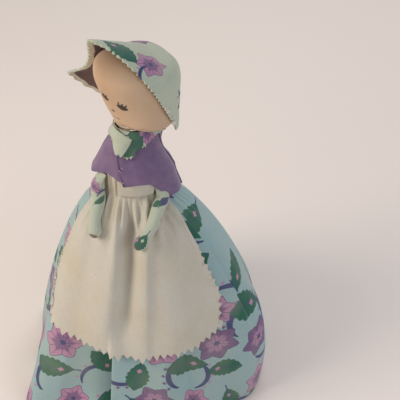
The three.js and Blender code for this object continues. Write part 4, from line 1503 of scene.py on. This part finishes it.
class DOLL_OT_bonnet(bpy.types.Operator):
    """Hood bonnet of print cloth with a pinked front edge and a wing that stands out"""
    bl_idname = "doll.bonnet"
    bl_label = "Bonnet"

    def execute(self, context):
        points, pattern = bonnet_surface()
        hood = grid_object("bonnet_hood", loose(points, False, 0.2, 21, 12), pattern, flip=True)
        mark(hood, "brim", spans(points.shape[1] - 1, points.shape[0] - 1)[1])
        weld(hood, closed=False)
        hang(hood, print_material("bonnet_print", sprigs=BONNET_SPRIGS), COTTON, "head", "print_cotton",
             "bonnet", inner=lining_material())
        return {"FINISHED"}


# Arms
# Each arm: angle and height of its hinge, angle of its hand, its reach down the skirt, and its sprigs
ARMS = {
    "left": (
        {"top": 52, "height": 101.5, "hand": 4, "reach": 0.297},
        (
            ("leaf", 5.6, 20.6, 1.2, 0.36, ("navy", "navy")),
            ("leaf", 3.2, 18.6, 0.4, 0.26, ("leaf", "leaf")),
            ("leaf", 5.2, 2.8, -1.57, 0.62, ("leaf", "faded")),
            ("bloom", 1.6, 3.4, 1.0, 0.35, ("petal", "plum")),
            ("bloom", 11.0, 14.0, 1.0, 0.6, ("petal", "plum")),
        ),
    ),
    "right": (
        {"top": -52, "height": 105.5, "hand": -32, "reach": 0.288},
        (
            ("bloom", 3.4, 20.6, 0.6, 0.42, ("petal", "plum")),
            ("stem", 6.2, 18.6, 1.6, 0.5, ("navy", "navy")),
            ("leaf", 4.6, 14.6, 0.9, 0.34, ("leaf", "leaf")),
            ("leaf", 11.0, 12.0, 1.2, 0.6, ("leaf", "petal")),
        ),
    ),
}
# Height of the seam over the hinge, its radius, and the layer of pleats that an arm lies on
SEAM_RISE = 3.6
SEAM_RADIUS = 13.2
PLEAT_LAYER = 1.1
# Shares of its reach where an arm is laid on the apron, and where its five points lie along its curve
LAID_AT = (0.35, 0.7, 1.0)
ARM_KNOTS = (0, 0.1, 0.4, 0.72, 1.0)
# Ring of the sleeve where it follows the arm alone, and the length of its dark brown tip
BEND_RING = 22
BROWN_TIP = 0.9


def arm_path(top, height, hand, reach, count=100):
    """Curve from the seam under the cape, over the shoulder hinge and down the apron to the hand."""
    lift = LAYER_GAP + PLEAT_LAYER + MUSLIN + FIT + size("arm_radius")
    hinge = around(np.radians(top), size("waist_radius") + 2 * FIT + MUSLIN + size("arm_radius"), height)
    seam = around(np.radians(top), SEAM_RADIUS, height + SEAM_RISE)
    t = np.array(LAID_AT)
    laid = skirt_point(np.radians(lerp(top, hand, t)), reach * t, lift, folds=0.0)
    places = np.concatenate([seam[None], hinge[None], laid])
    knots = np.array(ARM_KNOTS)
    steps = np.linspace(0, 1, count)
    return hinge, np.stack([eased(knots, places[:, axis], steps) for axis in range(3)], -1)


def arm_surface(arm):
    """Stuffed sleeve: a tube along its path, pressed flat at the seam and rounded at the hand."""
    hinge, path = arm_path(**arm)
    t = np.linspace(0, 1, len(path))
    radius = lerp(size("arm_radius"), size("wrist_radius"), t) * (1 + 0.06 * np.sin(np.pi * t))
    radius = radius * (1 - 0.1 * bump(t, 0.74, 0.08) + 0.16 * bump(t, 0.92, 0.07))
    hand = np.sqrt(np.clip(1 - np.clip((t - 0.88) / 0.1201, 0, 1) ** 2, 0.0, 1))
    rings, pattern = tube(path, radius * hand, 40, press=lerp(0.22, 1.0, smooth(t, 0, 0.16)))
    return hinge, rings, pattern


class DOLL_OT_arms(bpy.types.Operator):
    """Two stuffed sleeves of print cloth, sewn on under the cape and lying on the apron"""
    bl_idname = "doll.arms"
    bl_label = "Arms"

    def execute(self, context):
        for side, (arm, sprigs) in ARMS.items():
            hinge, rings, pattern = arm_surface(arm)
            pattern[..., 1] = pattern[-1, 0, 1] - pattern[..., 1]
            printed = print_material(f"{side}_sleeve_print", sprigs=sprigs, tip=BROWN_TIP)
            sleeve = closed_tube(f"{side}_arm_sleeve", rings, pattern, printed)
            fill(sleeve, 0.25)
            end = rings[BEND_RING, :-1].mean(0)
            tuple(hinge * MM)
            tuple(end * MM)
            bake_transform(sleeve)
            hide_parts(f"{side}_sleeve", f"{side}_arm_roll")
        return {"FINISHED"}


# Body and base
# Ease to the skirt, how much further the bag draws in below, its chest, and its shoulders' radii and heights
BAG_EASE = 1.2
BAG_HOLLOW = 7.0
CHEST_HEIGHT = 104.0
SHOULDERS = ((9.2, 116.5), (6.5, 121.75), (5.4, 123.4), (3.95, 123.5))


class DOLL_OT_body(bpy.types.Operator):
    """Stuffed muslin body under the skirt and the card disc that it stands on"""
    bl_idname = "doll.body"
    bl_label = "Body and base"

    def execute(self, context):
        bag = plain_bag("body_bag", self.surface(), bpy.data.materials["apron_muslin"])
        dress(bag, "torso", "cream_muslin", "body_cloth", "body_stuffing")
        disc = frame["nodes"]["base_disc"]
        disc.data.materials.clear()
        disc.data.materials.append(card_material())
        return {"FINISHED"}

    def surface(self):
        """Rings from the flat foot up: the skirt's cone without folds, moved inwards by a depth, then level
        rings of one radius for waist and chest, and rings that close in over the shoulders."""
        depth = size("fold_depth") + COTTON + BAG_EASE
        s = np.linspace(1, 0.22, 40)[:, None]
        angle = np.linspace(0, TURN, 120, endpoint=False)[None, :]
        hollow = BAG_HOLLOW * smooth(s, 0.1, 0.5) * (1 - smooth(s, 0.9, 1))
        cone = skirt_point(angle, s, -depth - hollow, folds=0.0)
        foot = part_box("body_cloth")[0][2] / MM
        cone[..., 2] = np.maximum(cone[..., 2], foot)
        waist = size("waist_radius") - COTTON - LAYER_GAP
        chest = [(waist, height) for height in (size("waist_height") - depth, CHEST_HEIGHT, SKIRT_TOP)]
        upper = np.concatenate([around(angle, radius, height) for radius, height in (*chest, *SHOULDERS)])
        return np.concatenate([cone, upper])


# Stage
# Camera: its place, how far it looks down and rolls in degrees, and its lens
CAMERA_PLACE = (20.4, -214.0, 272.0)
CAMERA_PITCH = 40.5
CAMERA_ROLL = 3.3
LENS = 63.0
# Lamps: name, place, width, power and colour; they face a point over the middle of the hem
LAMPS = (
    ("key", (-425, -165, 360), 260, 1.85, "FFF4E8"),
    ("fill", (380, -260, 280), 340, 0.7, "E6EEFF"),
    ("back", (120, 420, 420), 300, 0.7, "FFFFFF"),
)
LAMP_AIM = (0, 0, 80)
WORLD_LIGHT = (0.86, 0.86, 0.88, 1)
WORLD_STRENGTH = 0.45
# Floor: its reach, how far it lies under the doll, and its colour and the backdrop's
FLOOR_REACH = 4000
FLOOR_DROP = 0.02
FLOOR = "EFE4DC"
BACKDROP = "DDD1C9"
# Distance from the doll at which half of the floor is backdrop, and the width of that fade, in metres
FLOOR_FADE = (0.45, 0.5)


class DOLL_OT_stage(bpy.types.Operator):
    """Pale floor, soft studio lamps and the camera"""
    bl_idname = "doll.stage"
    bl_label = "Stage"

    def execute(self, context):
        scene = context.scene
        scene.view_settings.view_transform = "Standard"
        self.camera(scene)
        self.floor()
        for name, place, width, power, code in LAMPS:
            self.lamp(scene, name, np.array(place) * MM, width * MM, power, linear(code))
        scene.world = self.surroundings()
        return {"FINISHED"}

    def surroundings(self):
        """Even light from all round; the camera itself sees the pale backdrop there."""
        world = bpy.data.worlds.new("studio")
        world.use_nodes = True
        tree = world.node_tree
        light = tree.nodes["Background"]
        light.inputs["Color"].default_value = WORLD_LIGHT
        light.inputs["Strength"].default_value = WORLD_STRENGTH
        backdrop = node(tree, "ShaderNodeBackground", {"Color": linear_tint(BACKDROP)})
        self.seen_as(tree, light, backdrop, tree.nodes["World Output"], 1.0)
        return world

    def seen_as(self, tree, lit, backdrop, output, share):
        """Mixes a shader with the backdrop for what the camera and reflections see, by a share."""
        path = node(tree, "ShaderNodeLightPath")
        seen = Field(tree, path.outputs["Is Camera Ray"])
        for ray in ("Is Glossy Ray", "Is Transmission Ray"):
            seen = seen.high(Field(tree, path.outputs[ray]))
        joined = node(tree, "ShaderNodeMixShader", {"Fac": seen * share})
        tree.links.new(lit.outputs[0], joined.inputs[1])
        tree.links.new(backdrop.outputs[0], joined.inputs[2])
        tree.links.new(joined.outputs[0], output.inputs["Surface"])

    def camera(self, scene):
        """Camera that looks down at the doll, with a small roll."""
        camera = bpy.data.objects.new("camera", bpy.data.cameras.new("camera"))
        camera.data.lens = LENS
        camera.data.clip_start = 0.01
        pitch, roll = np.radians(CAMERA_PITCH), np.radians(CAMERA_ROLL)
        ahead = np.array([0, np.cos(pitch), -np.sin(pitch)])
        up = np.array([0, np.sin(pitch), np.cos(pitch)])
        right = np.array([1.0, 0, 0])
        right, up = np.cos(roll) * right + np.sin(roll) * up, np.cos(roll) * up - np.sin(roll) * right
        matrix = np.eye(4)
        matrix[:3, 0], matrix[:3, 1], matrix[:3, 2] = right, up, -ahead
        matrix[:3, 3] = np.array(CAMERA_PLACE) * MM
        camera.matrix_world = Matrix(matrix.tolist())
        scene.collection.objects.link(camera)
        scene.camera = camera

    def floor(self):
        """Level floor that fades into the backdrop away from the doll."""
        u, v = spans(2, 2)
        across, along = (lerp(-FLOOR_REACH, FLOOR_REACH, t) for t in (u, v))
        points = np.stack([across, along, 0 * u - FLOOR_DROP], -1)
        floor = grid_object("floor", points, np.stack([u, v], -1) * 1000)
        made = bpy.data.materials.new("pale_floor")
        made.use_nodes = True
        tree = made.node_tree
        shader = tree.nodes["Principled BSDF"]
        shader.inputs["Base Color"].default_value = linear_tint(FLOOR)
        shader.inputs["Roughness"].default_value = 0.9
        distance = vector_math(tree, "LENGTH", object_place(tree)).outputs["Value"]
        far = Field(tree, distance).over(*FLOOR_FADE)
        backdrop = node(tree, "ShaderNodeEmission", {"Color": linear_tint(BACKDROP)})
        self.seen_as(tree, shader, backdrop, tree.nodes["Material Output"], far)
        floor.data.materials.append(made)

    def lamp(self, scene, name, place, width, power, tone):
        """Square soft lamp that faces the doll."""
        light = bpy.data.lights.new(name, "AREA")
        light.energy = power
        light.size = width
        light.color = tone
        lamp = bpy.data.objects.new(name, light)
        aim = np.array(LAMP_AIM) * MM - place
        lamp.rotation_euler = Vector(aim).to_track_quat("-Z", "Y").to_euler()
        lamp.location = place
        scene.collection.objects.link(lamp)


class DOLL_OT_finishes(bpy.types.Operator):
    """Shader groups that the cloths share, and the thread"""
    bl_idname = "doll.finishes"
    bl_label = "Finishes"

    def execute(self, context):
        weave_group()
        motif_group("printed_leaf", draw_leaf)
        motif_group("printed_bloom", draw_bloom)
        motif_group("printed_stem", draw_stem)
        print_group()
        fade_group()
        thread_material("thread", "E9E3D6", "BFB49E")
        thread_material("stitch_thread", "B8A3B4", "8D7590")
        return {"FINISHED"}


class DOLL_PT_panel(bpy.types.Panel):
    """Sidebar panel with the doll's pieces, sizes and colours"""
    bl_label = "Cloth Doll"
    bl_idname = "DOLL_PT_panel"
    bl_space_type = "VIEW_3D"
    bl_region_type = "UI"
    bl_category = "Doll"

    def draw(self, context):
        for operator in OPERATORS:
            self.layout.operator(operator.bl_idname)
        for group in (context.scene.doll_sizes, context.scene.doll_colours):
            for name in group.__annotations__:
                self.layout.prop(group, name)


OPERATORS = (DOLL_OT_finishes, DOLL_OT_stage, DOLL_OT_skirt, DOLL_OT_apron, DOLL_OT_body, DOLL_OT_cape,
             DOLL_OT_kerchief, DOLL_OT_head, DOLL_OT_bonnet, DOLL_OT_arms)
CLASSES = (DollSizes, DollColours, *OPERATORS, DOLL_PT_panel)


def register():
    for item in CLASSES:
        bpy.utils.register_class(item)
    bpy.types.Scene.doll_sizes = PointerProperty(type=DollSizes)
    bpy.types.Scene.doll_colours = PointerProperty(type=DollColours)


def unregister():
    del bpy.types.Scene.doll_colours
    del bpy.types.Scene.doll_sizes
    for item in reversed(CLASSES):
        bpy.utils.unregister_class(item)


def main():
    register()
    for operator in OPERATORS:
        group, name = operator.bl_idname.split(".")
        getattr(getattr(bpy.ops, group), name)()
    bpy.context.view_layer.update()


if __name__ == "__main__":
    main()
